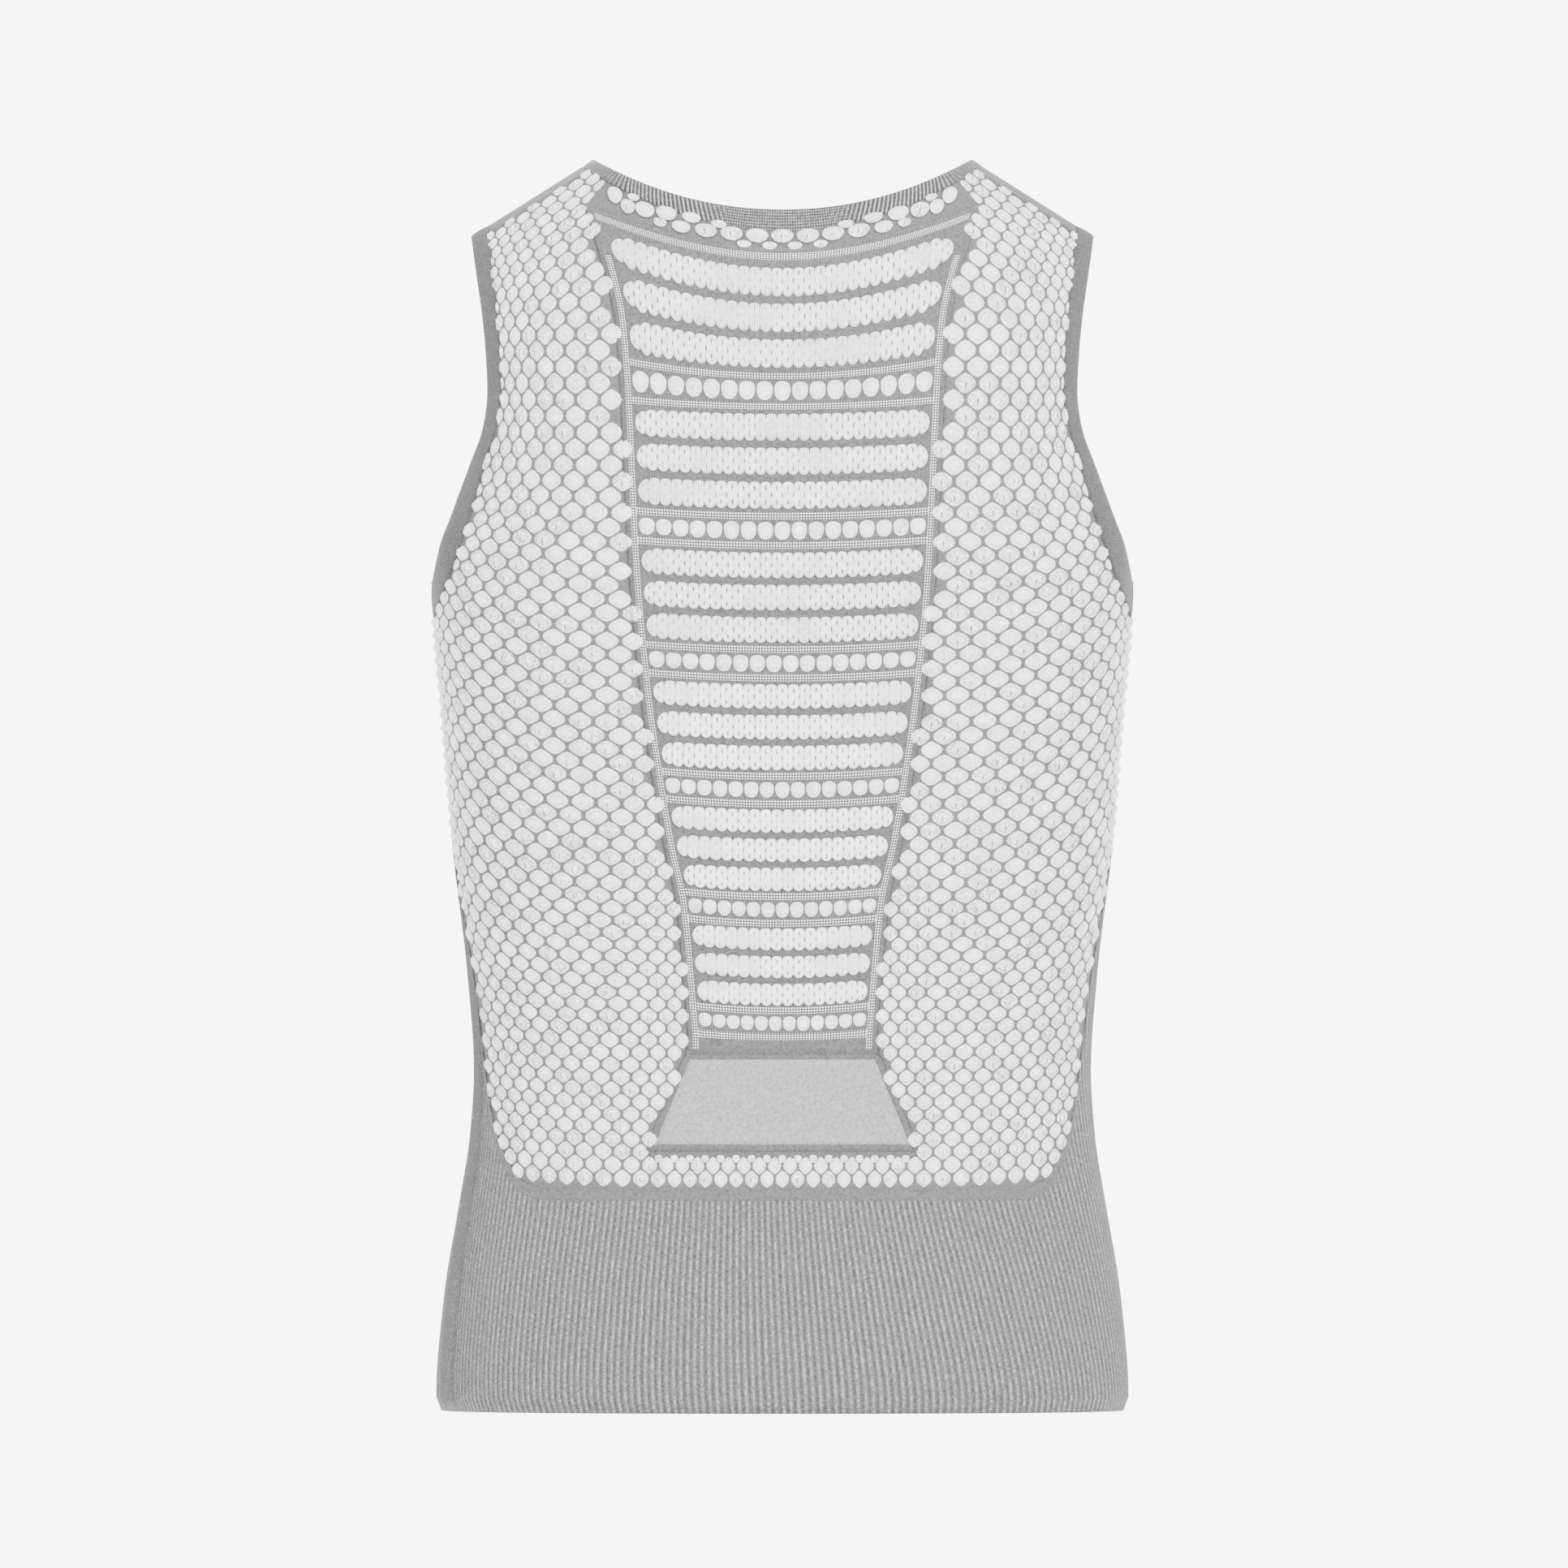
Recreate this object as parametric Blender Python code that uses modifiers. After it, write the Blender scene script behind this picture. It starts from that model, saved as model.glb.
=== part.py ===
"""A sleeveless honeycomb-knit cycling base layer, worn hollow with no wearer.

Metres, +Z up, the wearer's front at -Y. The origin lies between the two shoulder crests, where
the wearer's shoulders carry the garment. Each piece is a wall that follows one smooth body form.
"""

import math

import bmesh
import bpy
from mathutils import Vector

MM = 0.001

# Driving sizes, in millimetres
CLOTH = 1.6            # wall thickness of the knit
SEAM_GAP = 0.4         # clear space between neighbouring pieces
HOLE_GAP = 0.8         # clear space round the ladder, whose edge has more points than the hole's
SIDE_GAP = 0.08        # half the gap between back and front, in degrees round the body
TONGUE_GAP = 1.6       # clear height between the side seam's foot and the rib's pointed tongue
NECK_HALF = 93.5       # half the neck opening, shoulder point to shoulder point
NECK_POINT_Z = 20.0    # height of the neck end of the shoulder
SHOULDER_SLOPE = 0.63  # fall of the shoulder line for each unit outwards
SHOULDER_TIP = 154.0   # half the width between the shoulder tips
NECK_ARCH = 88.0       # inside this half width the shoulder line runs on as a round arch
NECK_BAND = 5.5        # how far the neck band reaches outwards along the shoulder
ARM_BAND = 8.0         # how far the armhole band reaches inwards along the shoulder
ARM_EASE = (1.7, 1.5)  # spacing of the armhole's points, closer towards the crest and the underarm
STRIP_DROP = 4.0       # visible height of the shoulder strip on each side of the crest
BACK_RISE = 170.0      # height over which the back rounds into the shoulder
FRONT_RISE = 215.0     # the same for the chest
CREST_POWER = 1.8      # roundness of the shoulder crest

# Sections of the body form, from the hem up: height, half breadth, depth of back and front, squareness
SECTIONS = [
    # z, half breadth, back depth, front depth, power
    (-599.0, 168.6, 110.0, 110.0, 2.35),
    (-592.0, 170.8, 111.0, 111.5, 2.35),
    (-544.0, 167.1, 103.0, 109.0, 2.35),
    (-496.0, 159.3, 91.0, 105.0, 2.4),
    (-463.0, 154.1, 85.0, 102.5, 2.4),
    (-431.0, 152.1, 82.0, 101.5, 2.4),
    (-383.0, 155.3, 83.0, 104.0, 2.4),
    (-319.0, 162.9, 88.0, 109.0, 2.45),
    (-255.0, 168.3, 94.0, 112.0, 2.5),
    (-197.0, 172.8, 98.0, 112.0, 2.5),
    (-172.0, 172.0, 99.0, 112.0, 2.5),
    (-150.0, 167.0, 99.0, 111.5, 2.5),
    (-130.0, 161.0, 98.5, 111.0, 2.5),
    (-110.0, 156.5, 98.0, 110.0, 2.5),
    (-90.0, 155.0, 97.5, 109.0, 2.5),
    (-60.0, 157.0, 97.0, 108.0, 2.5),
    (-20.0, 161.0, 96.0, 106.0, 2.5),
    (60.0, 166.0, 95.0, 104.0, 2.5),
]

# Half width of the back between the armhole edges, and between the inner edges of their bands
ARMHOLE_EDGE = [
    # z, half width
    (-197.0, 172.8),
    (-188.0, 172.3),
    (-176.0, 170.6),
    (-156.0, 163.0),
    (-136.0, 155.0),
    (-116.0, 148.0),
    (-96.0, 145.7),
    (-76.0, 146.6),
    (-56.0, 148.6),
    (-36.0, 151.5),
    (-18.1, 154.0),
]
BAND_EDGE = [
    # z, half width
    (-206.0, 172.35),
    (-190.0, 166.0),
    (-172.0, 159.7),
    (-150.0, 152.5),
    (-130.0, 147.0),
    (-112.0, 141.5),
    (-96.0, 139.2),
    (-80.0, 139.6),
    (-60.0, 141.2),
    (-40.0, 143.4),
    (-13.1, 146.0),
]
FRONT_CUT = 7.0        # how much further in the front armhole is cut at half height

# Upper edge of the waist rib: the angle round from the centre back, and its height
WAIST_EDGE = [
    # degrees, z
    (0.0, -489.0),
    (60.0, -489.0),
    (65.0, -485.0),
    (69.3, -475.0),
    (73.8, -460.0),
    (79.6, -423.0),
    (82.0, -383.0),
    (86.4, -343.0),
    (90.0, -310.0),
]
WAIST_COLUMNS = [90, 88, 86.4, 82, 79.6, 76.7, 73.8, 69.3, 65, 60, 40, 20, 0]

# Necklines: depth at the centre, height at the shoulder and how round the curve is
BACK_NECK = {"edge": (-5.6, 2.1), "band": (-15.6, 1.95)}
FRONT_NECK = {"edge": (-52.0, 2.4), "band": (-62.5, 2.3)}

# Outline of the spine ladder, and of the patch that widens below it
LADDER_EDGE = [
    # z, half width
    (-414.5, 46.0),
    (-383.0, 48.5),
    (-347.0, 52.0),
    (-319.0, 58.0),
    (-283.0, 64.0),
    (-243.0, 69.5),
    (-183.0, 75.0),
    (-90.0, 79.5),
    (-60.0, 82.0),
    (-40.0, 86.0),
    (-20.0, 92.0),
    (-3.0, 97.5),
]
LADDER_TOP_CENTRE = -25.0
LADDER_TOP_CORNER = -3.0
LADDER_CAP = 8.0       # flat border above the first window
LADDER_FOOT = 7.5      # flat border under the last bead row, down to the patch
PATCH_TOP = (-422.0, 47.5)
PATCH_BOTTOM = (-469.5, 67.0)

# The ladder's relief: groups of gathered windows, each closed by a row of beads
LADDER_GROUPS = 6
WINDOWS_IN_GROUP = 3
WINDOW_SHARE = 0.245   # share of a group's height taken by one window and its rung
BEAD_SHARE = 0.265     # share taken by the bead row with its plain borders
RUNG_SHARE = 0.2       # share of a window's pitch left flat as the rung
BEAD_BORDER = 0.5      # share of the bead row's height left flat
GROUP_SHRINK = 0.95    # each group is this much lower than the one above
LADDER_MARGIN = 5.0    # flat border at each side
RAISE = 2.2            # height of windows and beads over the knit
RAISE_EDGE = 0.8       # how much of the knit a window's rounded edge takes up
BOW = 3.0              # sag of the rungs at the centre
BOW_SETTLES = 16       # rows over which the neckline's curve eases into that sag

# Heights that share out the points round the hole for ladder and patch
HOLE_CORNER = 6.0      # height beside the ladder's corner that faces the shoulder strip
HOLE_ARM_FOOT = -200.0  # foot of the part that faces the armhole
HOLE_SIDE_FOOT = -300.0  # foot of the part that faces the side seam

# Numbers of spans in the meshes
NECK_SPANS = 8         # also the ladder's columns on each side, so that its top edge matches
STRIP_SPANS = 4
ARM_SPANS = 13
SIDE_SPANS = 5
MESH_RINGS = 8
RING_EASE = 1.3        # rings lie closer together towards the panel's edge
RIB_ROWS = 8
RIB_EASE = 0.9
LADDER_COLUMNS = 2 * NECK_SPANS
HOLE_LADDER_SPANS = 5
HOLE_PATCH_SPANS = 3
SEARCH_STEPS = 40
STRIP_ROWS = 6
BAND_ROWS = (0.0, 0.5, 1.0)
PATCH_COLUMNS = 8
PATCH_ROWS = 4

BODY_CENTRE = Vector((0.0, 0.0, -300.0)) * MM  # every piece faces away from here

GREY_KNIT = (0.36, 0.36, 0.36, 1.0)
PALE_KNIT = (0.78, 0.78, 0.78, 1.0)


def mix(a, b, share):
    return a + (b - a) * share


def table_value(rows, at, column=1):
    """Reads a table by smooth, never overshooting interpolation over its first column."""
    last = len(rows) - 1
    if at <= rows[0][0]:
        return rows[0][column]
    if at >= rows[last][0]:
        return rows[last][column]
    i = max(k for k in range(last) if rows[k][0] <= at)

    def slope(k):
        return (rows[k + 1][column] - rows[k][column]) / (rows[k + 1][0] - rows[k][0])

    def tangent(k):
        if k == 0:
            return slope(0)
        if k == last:
            return slope(last - 1)
        low = slope(k - 1)
        high = slope(k)
        if low * high <= 0:
            return 0.0
        return 2 * low * high / (low + high)

    span = rows[i + 1][0] - rows[i][0]
    t = (at - rows[i][0]) / span
    a = rows[i][column]
    b = rows[i + 1][column]
    bend = (1 - t) * tangent(i) * (1 - t) * t - t * tangent(i + 1) * (1 - t) * t
    return a * (1 - t) ** 2 * (1 + 2 * t) + b * t * t * (3 - 2 * t) + span * bend


def crest_height(x):
    """Height of the shoulder crest at this distance from the centre."""
    out = abs(x)
    arch_z = NECK_POINT_Z + SHOULDER_SLOPE * (NECK_HALF - NECK_ARCH)
    if out < NECK_ARCH:
        return arch_z + SHOULDER_SLOPE / (2 * NECK_ARCH) * (NECK_ARCH**2 - out**2)
    return NECK_POINT_Z - SHOULDER_SLOPE * (out - NECK_HALF)


def rounding(x, z, front):
    """How much of its depth the body form keeps at this height: 0 on the crest, 1 well below it."""
    rise = FRONT_RISE if front else BACK_RISE
    left = 1 - max(0.0, crest_height(x) - z) / rise
    if left <= 0:
        return 1.0
    return max(0.0, 1 - left**CREST_POWER) ** (1 / CREST_POWER)


def section(z, front):
    """Half breadth, depth and squareness of the body form."""
    return (
        table_value(SECTIONS, z, 1),
        table_value(SECTIONS, z, 3 if front else 2),
        table_value(SECTIONS, z, 4),
    )


def skin(angle, z):
    """Point of the body form at an angle round from the centre back (180 is the centre front)."""
    turn = math.radians(angle)
    front = math.cos(turn) < 0
    half, depth, power = section(z, front)
    s = abs(math.sin(turn))
    c = abs(math.cos(turn))
    reach = ((s / half) ** power + (c / depth) ** power) ** (-1 / power)
    x = math.copysign(reach * s, math.sin(turn))
    y = reach * c * rounding(x, z, front)
    return Vector((x, -y if front else y, z))


def outward(angle, z):
    """Unit normal of the body form."""
    step = 0.2
    across = skin(angle + step, z) - skin(angle - step, z)
    up = skin(angle, z + step) - skin(angle, z - step)
    normal = up.cross(across)
    return normal.normalized()


def angle_at(x, z, front=False):
    """The angle round at which the body form is this far from the centre plane."""
    half, depth, power = section(z, front)
    share = min(1.0, abs(x) / half)
    y = depth * (1 - share**power) ** (1 / power)
    turn = math.degrees(math.atan2(abs(x), -y if front else y))
    return math.copysign(turn, x)


def neck_height(kind, x, front):
    """Height of the neck opening's edge or of the neck band's lower edge."""
    low, power = (FRONT_NECK if front else BACK_NECK)[kind]
    reach = NECK_HALF + (NECK_BAND if kind == "band" else 0.0)
    return low + (crest_height(reach) - low) * (abs(x) / reach) ** power


def neck_line(kind, share, front):
    """Point (angle, z) of a neck curve, share running from -1 to 1 between the shoulders."""
    x = (NECK_HALF + (NECK_BAND if kind == "band" else 0.0)) * share
    z = neck_height(kind, x, front)
    return angle_at(x, min(z, crest_height(x)), front), z


def under_neck(share, front):
    """Point (angle, z) a seam gap below the neck band, matched to neck_line by its share."""
    x = (NECK_HALF + NECK_BAND) * share
    z = neck_height("band", x, front)
    rise = neck_height("band", x + 1.0, front) - neck_height("band", max(x - 1.0, 0.0), front)
    slope = rise / (2.0 if x > 1.0 else 1.0 + x)
    length = math.hypot(1.0, slope)
    x += SEAM_GAP * slope / length
    z -= SEAM_GAP / length
    return angle_at(x, z, front), z


def arm_width(kind, z, front):
    """Half width at the armhole's edge or at its band's inner edge."""
    rows = ARMHOLE_EDGE if kind == "edge" else BAND_EDGE
    width = table_value(rows, z)
    if front:
        share = (z - rows[0][0]) / (rows[-1][0] - rows[0][0])
        width -= FRONT_CUT * math.sin(math.pi * min(max(share, 0.0), 1.0)) ** 2
    return width


def foot_share(share):
    """Share of a run whose points lie closer together towards its foot."""
    return 1 - (1 - share) ** ARM_EASE[1]


def arm_share(share):
    """How far down the armhole a point lies, for its share of the armhole's spans."""
    return foot_share(min(max(share, 0.0), 1.0) ** ARM_EASE[0])


def arm_line(kind, share, front):
    """Point (angle, z) from the shoulder crest (0) to the underarm (1)."""
    rows = ARMHOLE_EDGE if kind == "edge" else BAND_EDGE
    bottom = rows[0][0]
    top = rows[-1][0]
    z = mix(top, bottom, arm_share(share))
    if share >= 1:
        return 90.0, bottom
    return angle_at(arm_width(kind, z, front), z, front), z


def beside(line, at, step, amount):
    """Point (angle, z) moved sideways over the skin from a line, to the right of its run for +."""
    a, z = line(at)
    along = (skin(*line(at + step)) - skin(*line(at - step))).normalized()
    moved = skin(a, z) + along.cross(outward(a, z)).normalized() * amount
    front = math.cos(math.radians(a)) < 0
    depth = moved.y / max(rounding(moved.x, moved.z, front), 0.01)
    return math.degrees(math.atan2(moved.x, depth)), moved.z


def inside_arm(share, front):
    """Point (angle, z) a seam gap inside the armhole band, matched to arm_line by its share."""
    side = 1 if front else -1
    return beside(lambda t: arm_line("band", t, front), share, 0.02, side * SEAM_GAP)


def neck_meeting(drop, front):
    """Distance out at which the neck band's lower edge lies this far below the crest."""
    low = NECK_HALF / 2
    high = NECK_HALF + NECK_BAND
    for _ in range(SEARCH_STEPS):
        middle = (low + high) / 2
        if crest_height(middle) - neck_height("band", middle, front) > drop:
            low = middle
        else:
            high = middle
    return high


def strip_line(share, drop, front):
    """Point (angle, z) along the shoulder strip, from the neck band to the armhole band."""
    start = neck_meeting(drop, front) + SEAM_GAP
    end = SHOULDER_TIP - ARM_BAND
    end = arm_width("band", crest_height(end) - drop, front) - SEAM_GAP
    x = start + (end - start) * share
    z = crest_height(x) - drop
    return angle_at(x, z, front), z


def waist_line(degrees):
    """Height of the waist rib's upper edge."""
    return table_value(WAIST_EDGE, degrees)


def ladder_top(share):
    """Height of the ladder's upper edge, share being 1 at its corner."""
    return LADDER_TOP_CENTRE + (LADDER_TOP_CORNER - LADDER_TOP_CENTRE) * abs(share) ** 2


def mirrored(point):
    return -point[0], point[1]


def material(name, colour, roughness):
    found = bpy.data.materials.get(name)
    if found:
        return found
    made = bpy.data.materials.new(name)
    made.use_nodes = True
    shader = made.node_tree.nodes["Principled BSDF"]
    shader.inputs["Base Color"].default_value = colour
    shader.inputs["Roughness"].default_value = roughness
    shader.inputs["Metallic"].default_value = 0.0
    made.diffuse_color = colour
    return made


def finished(name, mesh, finish, collection):
    piece = bpy.data.objects.new(name, mesh)
    piece.data.materials.append(finish)
    collection.objects.link(piece)
    mesh.shade_smooth()
    return piece


def sheet_mesh(name, rows, closed):
    """Mesh of a grid of (angle, z) points on the body form, as an open surface facing out."""
    shape = bmesh.new()
    grid = [[shape.verts.new(skin(a, z) * MM) for a, z in row] for row in rows]
    width = len(rows[0])
    for low, high in zip(grid, grid[1:]):
        for i in range(width if closed else width - 1):
            j = (i + 1) % width
            shape.faces.new((low[i], low[j], high[j], high[i]))
    shape.normal_update()
    facing = sum(f.normal.dot(f.calc_center_median() - BODY_CENTRE) for f in shape.faces)
    if facing < 0:
        bmesh.ops.reverse_faces(shape, faces=shape.faces)
    mesh = bpy.data.meshes.new(name)
    shape.to_mesh(mesh)
    shape.free()
    return mesh


def cloth_piece(name, rows, closed, finish, collection):
    """A piece of even cloth: an open surface, given its thickness inwards by Solidify."""
    mesh = sheet_mesh(name, rows, closed)
    piece = finished(name, mesh, finish, collection)
    wall = piece.modifiers.new("cloth thickness", "SOLIDIFY")
    wall.thickness = CLOTH * MM
    wall.offset = -1.0
    wall.use_rim = True
    return piece


def raised_piece(name, rows, heights, finish, collection):
    """A panel whose outer points are raised by the heights, over a plain inside."""
    shape = bmesh.new()
    outer = []
    inner = []
    for row, lifts in zip(rows, heights):
        outer.append([shape.verts.new((skin(a, z) + outward(a, z) * h) * MM) for (a, z), h in zip(row, lifts)])
        inner.append([shape.verts.new((skin(a, z) - outward(a, z) * CLOTH) * MM) for a, z in row])
    last = len(rows[0]) - 1
    for k in range(len(rows) - 1):
        for i in range(last):
            shape.faces.new((outer[k][i], outer[k][i + 1], outer[k + 1][i + 1], outer[k + 1][i]))
            shape.faces.new((inner[k][i], inner[k + 1][i], inner[k + 1][i + 1], inner[k][i + 1]))
        shape.faces.new((outer[k][0], outer[k + 1][0], inner[k + 1][0], inner[k][0]))
        shape.faces.new((outer[k][last], inner[k][last], inner[k + 1][last], outer[k + 1][last]))
    for i in range(last):
        shape.faces.new((outer[0][i], inner[0][i], inner[0][i + 1], outer[0][i + 1]))
        shape.faces.new((outer[-1][i], outer[-1][i + 1], inner[-1][i + 1], inner[-1][i]))
    bmesh.ops.recalc_face_normals(shape, faces=shape.faces)
    mesh = bpy.data.meshes.new(name)
    shape.to_mesh(mesh)
    shape.free()
    return finished(name, mesh, finish, collection)


def outer_half(front):
    """Right-hand outer edge of a mesh panel, from the centre neck round to the centre waist."""
    points = [under_neck(j / NECK_SPANS, front) for j in range(NECK_SPANS)]
    strip_edge = STRIP_DROP + SEAM_GAP
    points += [strip_line(j / STRIP_SPANS, strip_edge, front) for j in range(STRIP_SPANS + 1)]
    points += [inside_arm(j / ARM_SPANS, front) for j in range(1, ARM_SPANS)]
    side = 90.0 + (SIDE_GAP if front else -SIDE_GAP)
    start = BAND_EDGE[0][0] - SEAM_GAP
    end = waist_line(90.0) + TONGUE_GAP
    points += [(side, mix(start, end, j / SIDE_SPANS)) for j in range(SIDE_SPANS)]
    points += [above_waist(degrees, front) for degrees in WAIST_COLUMNS]
    return points


def above_waist(degrees, front):
    """Point (angle, z) a seam gap above the waist rib's upper edge."""
    if degrees >= 90:
        return 90.0 + (SIDE_GAP if front else -SIDE_GAP), waist_line(90.0) + TONGUE_GAP
    if degrees <= 0:
        return (180.0 if front else 0.0), waist_line(0.0) + SEAM_GAP
    if front:
        return beside(lambda d: (180 - d, waist_line(d)), degrees, 0.5, -SEAM_GAP)
    return beside(lambda d: (d, waist_line(d)), degrees, 0.5, SEAM_GAP)


def ladder_columns():
    """Columns across the ladder: kind of column and share of the raised half width."""
    inside = LADDER_COLUMNS - 4
    middle = [("raised", 2 * i / inside - 1) for i in range(inside + 1)]
    return [("edge", -1), ("foot", -1)] + middle + [("foot", 1), ("edge", 1)]


def column_x(kind, share, width):
    """Distance from the centre of a column where the ladder is this wide."""
    if kind == "edge":
        return share * width
    if kind == "foot":
        return share * (width - LADDER_MARGIN)
    return share * (width - LADDER_MARGIN - 2 * RAISE_EDGE)


def ladder_top_point(kind, share):
    """Distance from the centre and height of the ladder's top edge at one of its columns."""
    width = hole_width(LADDER_TOP_CENTRE)
    z = ladder_top(column_x(kind, share, width) / width)
    return column_x(kind, share, hole_width(z)), z


def inner_half():
    """Right-hand edge of the hole for ladder and patch, matched point by point to the outer edge."""
    gap = HOLE_GAP
    points = []
    for kind, share in ladder_columns()[NECK_SPANS:-1]:
        x, z = ladder_top_point(kind, share)
        points.append((angle_at(x, z + gap), z + gap))
    top = LADDER_TOP_CORNER + gap
    corner = top - HOLE_CORNER
    heights = [mix(top, corner, j / STRIP_SPANS) for j in range(STRIP_SPANS + 1)]
    heights += [mix(corner, HOLE_ARM_FOOT, foot_share(j / ARM_SPANS)) for j in range(1, ARM_SPANS + 1)]
    heights += [mix(HOLE_ARM_FOOT, HOLE_SIDE_FOOT, j / SIDE_SPANS) for j in range(1, SIDE_SPANS)]
    heights += [mix(HOLE_SIDE_FOOT, PATCH_TOP[0], j / HOLE_LADDER_SPANS) for j in range(HOLE_LADDER_SPANS)]
    floor = PATCH_BOTTOM[0] - gap
    heights += [mix(PATCH_TOP[0], floor, j / HOLE_PATCH_SPANS) for j in range(HOLE_PATCH_SPANS)]
    points += [(angle_at(hole_width(z) + gap, z), z) for z in heights]
    floor_spans = len(WAIST_COLUMNS) - 1 - HOLE_LADDER_SPANS - HOLE_PATCH_SPANS
    for j in range(floor_spans + 1):
        x = (hole_width(floor) + gap) * (1 - j / floor_spans)
        points.append((angle_at(x, floor), floor))
    return points


def hole_width(z):
    """Half width of the hole: the ladder's, then the patch's."""
    if z > PATCH_TOP[0]:
        return table_value(LADDER_EDGE, z)
    share = (PATCH_TOP[0] - z) / (PATCH_TOP[0] - PATCH_BOTTOM[0])
    return mix(PATCH_TOP[1], PATCH_BOTTOM[1], min(share, 1.0))


def whole_loop(half):
    """A half edge that starts and ends on the centre line, with its mirror image."""
    return half + [mirrored(p) for p in reversed(half[1:-1])]


def make_back_mesh(finish, collection):
    outer = whole_loop(outer_half(False))
    inner = whole_loop(inner_half())
    rows = []
    for k in range(MESH_RINGS + 1):
        share = 1 - (1 - k / MESH_RINGS) ** RING_EASE
        rows.append([(mix(p[0], q[0], share), mix(p[1], q[1], share)) for p, q in zip(inner, outer)])
    return cloth_piece("back_mesh", rows, True, finish, collection)


def blended(left, right, top, bottom):
    """Fills the inside of four matching edges. The left and right edges run from top to bottom."""
    rows = []
    last_row = len(left) - 1
    last_column = len(top) - 1
    for j in range(last_row + 1):
        v = j / last_row
        row = []
        for i in range(last_column + 1):
            u = i / last_column
            cell = []
            for k in range(2):
                sides = mix(left[j][k], right[j][k], u) + mix(top[i][k], bottom[i][k], v)
                ends = mix(mix(top[0][k], top[-1][k], u), mix(bottom[0][k], bottom[-1][k], u), v)
                cell.append(sides - ends)
            row.append(tuple(cell))
        rows.append(row)
    return rows


def round_front(point):
    """Counts an angle of the other side on past the centre front, so that a row has no jump."""
    a, z = point
    return (360 + a if a < 0 else a), z


def make_front_mesh(finish, collection):
    half = outer_half(True)
    top_count = NECK_SPANS + STRIP_SPANS + 1
    side_count = ARM_SPANS + SIDE_SPANS
    top_half = half[:top_count]
    right = half[top_count - 1:top_count + side_count]
    bottom_half = half[top_count + side_count - 1:]
    top_mirror = [mirrored(p) for p in top_half[1:]]
    top = [round_front(p) for p in reversed(top_half)] + [round_front(p) for p in top_mirror]
    bottom_mirror = [mirrored(p) for p in reversed(bottom_half[:-1])]
    bottom = [round_front(p) for p in bottom_half] + [round_front(p) for p in bottom_mirror]
    left = [round_front(p) for p in right]
    other = [round_front(mirrored(p)) for p in right]
    rows = blended(left, other, top, bottom)
    return cloth_piece("front_mesh", rows, False, finish, collection)


def make_waist_rib(finish, collection):
    quarter = list(WAIST_COLUMNS)
    columns = [a for a in reversed(quarter)]
    columns += [180 - a for a in quarter[1:]]
    columns += [180 + a for a in reversed(quarter[:-1])]
    columns += [360 - a for a in quarter[1:-1]]
    rows = []
    hem = SECTIONS[0][0]
    turn = SECTIONS[1][0]
    rows.append([(a, hem) for a in columns])
    for k in range(RIB_ROWS):
        share = (k / (RIB_ROWS - 1)) ** RIB_EASE
        row = []
        for a in columns:
            nearest = min(a % 180, 180 - a % 180)
            row.append((a, mix(turn, waist_line(nearest), share)))
        rows.append(row)
    return cloth_piece("waist_rib", rows, True, finish, collection)


def make_neck_band(finish, collection):
    rows = []
    spans = [j / NECK_SPANS - 1 for j in range(2 * NECK_SPANS)]
    for share in BAND_ROWS:
        loop = []
        for front in (False, True):
            for s in spans:
                across = -s if front else s
                edge = neck_line("edge", across, front)
                band = neck_line("band", across, front)
                point = (mix(edge[0], band[0], share), mix(edge[1], band[1], share))
                loop.append(round_front(point) if front else point)
        rows.append(loop)
    return cloth_piece("neck_band", rows, True, finish, collection)


def make_arm_band(name, side, finish, collection):
    rows = []
    for share in BAND_ROWS:
        halves = []
        for front in (False, True):
            half = []
            for j in range(ARM_SPANS + 1):
                a, z = arm_line("edge", j / ARM_SPANS, front)
                b, low = arm_line("band", j / ARM_SPANS, front)
                half.append((side * mix(a, b, share), mix(z, low, share)))
            halves.append(half)
        rows.append(halves[0] + halves[1][-2:0:-1])
    return cloth_piece(name, rows, True, finish, collection)


def make_strip(name, side, finish, collection):
    rows = []
    for k in range(-STRIP_ROWS // 2, STRIP_ROWS // 2 + 1):
        front = k < 0
        drop = STRIP_DROP * (abs(k) / (STRIP_ROWS / 2)) ** 2
        row = []
        for j in range(STRIP_SPANS + 1):
            a, z = strip_line(j / STRIP_SPANS, drop, front)
            row.append((side * a, z))
        rows.append(row)
    return cloth_piece(name, rows, False, finish, collection)


def group_heights():
    """Heights of the ladder's groups, which shrink downwards and fill its whole length."""
    total = LADDER_TOP_CENTRE - LADDER_CAP - LADDER_EDGE[0][0]
    weights = [GROUP_SHRINK**k for k in range(LADDER_GROUPS)]
    return [total * w / sum(weights) for w in weights]


def ladder_rows():
    """Rows of the ladder from the top: height at the centre, and whether it is raised."""
    rows = []
    z = LADDER_TOP_CENTRE - LADDER_CAP
    for height in group_heights():
        parts = [(WINDOW_SHARE, RUNG_SHARE)] * WINDOWS_IN_GROUP + [(BEAD_SHARE, BEAD_BORDER)]
        for part, flat in parts:
            pitch = height * part
            border = pitch * flat / 2
            rows += [(z - border, 0.0), (z - border - RAISE_EDGE, RAISE)]
            rows += [(z - pitch + border + RAISE_EDGE, RAISE), (z - pitch + border, 0.0)]
            z -= pitch
    return rows


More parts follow.
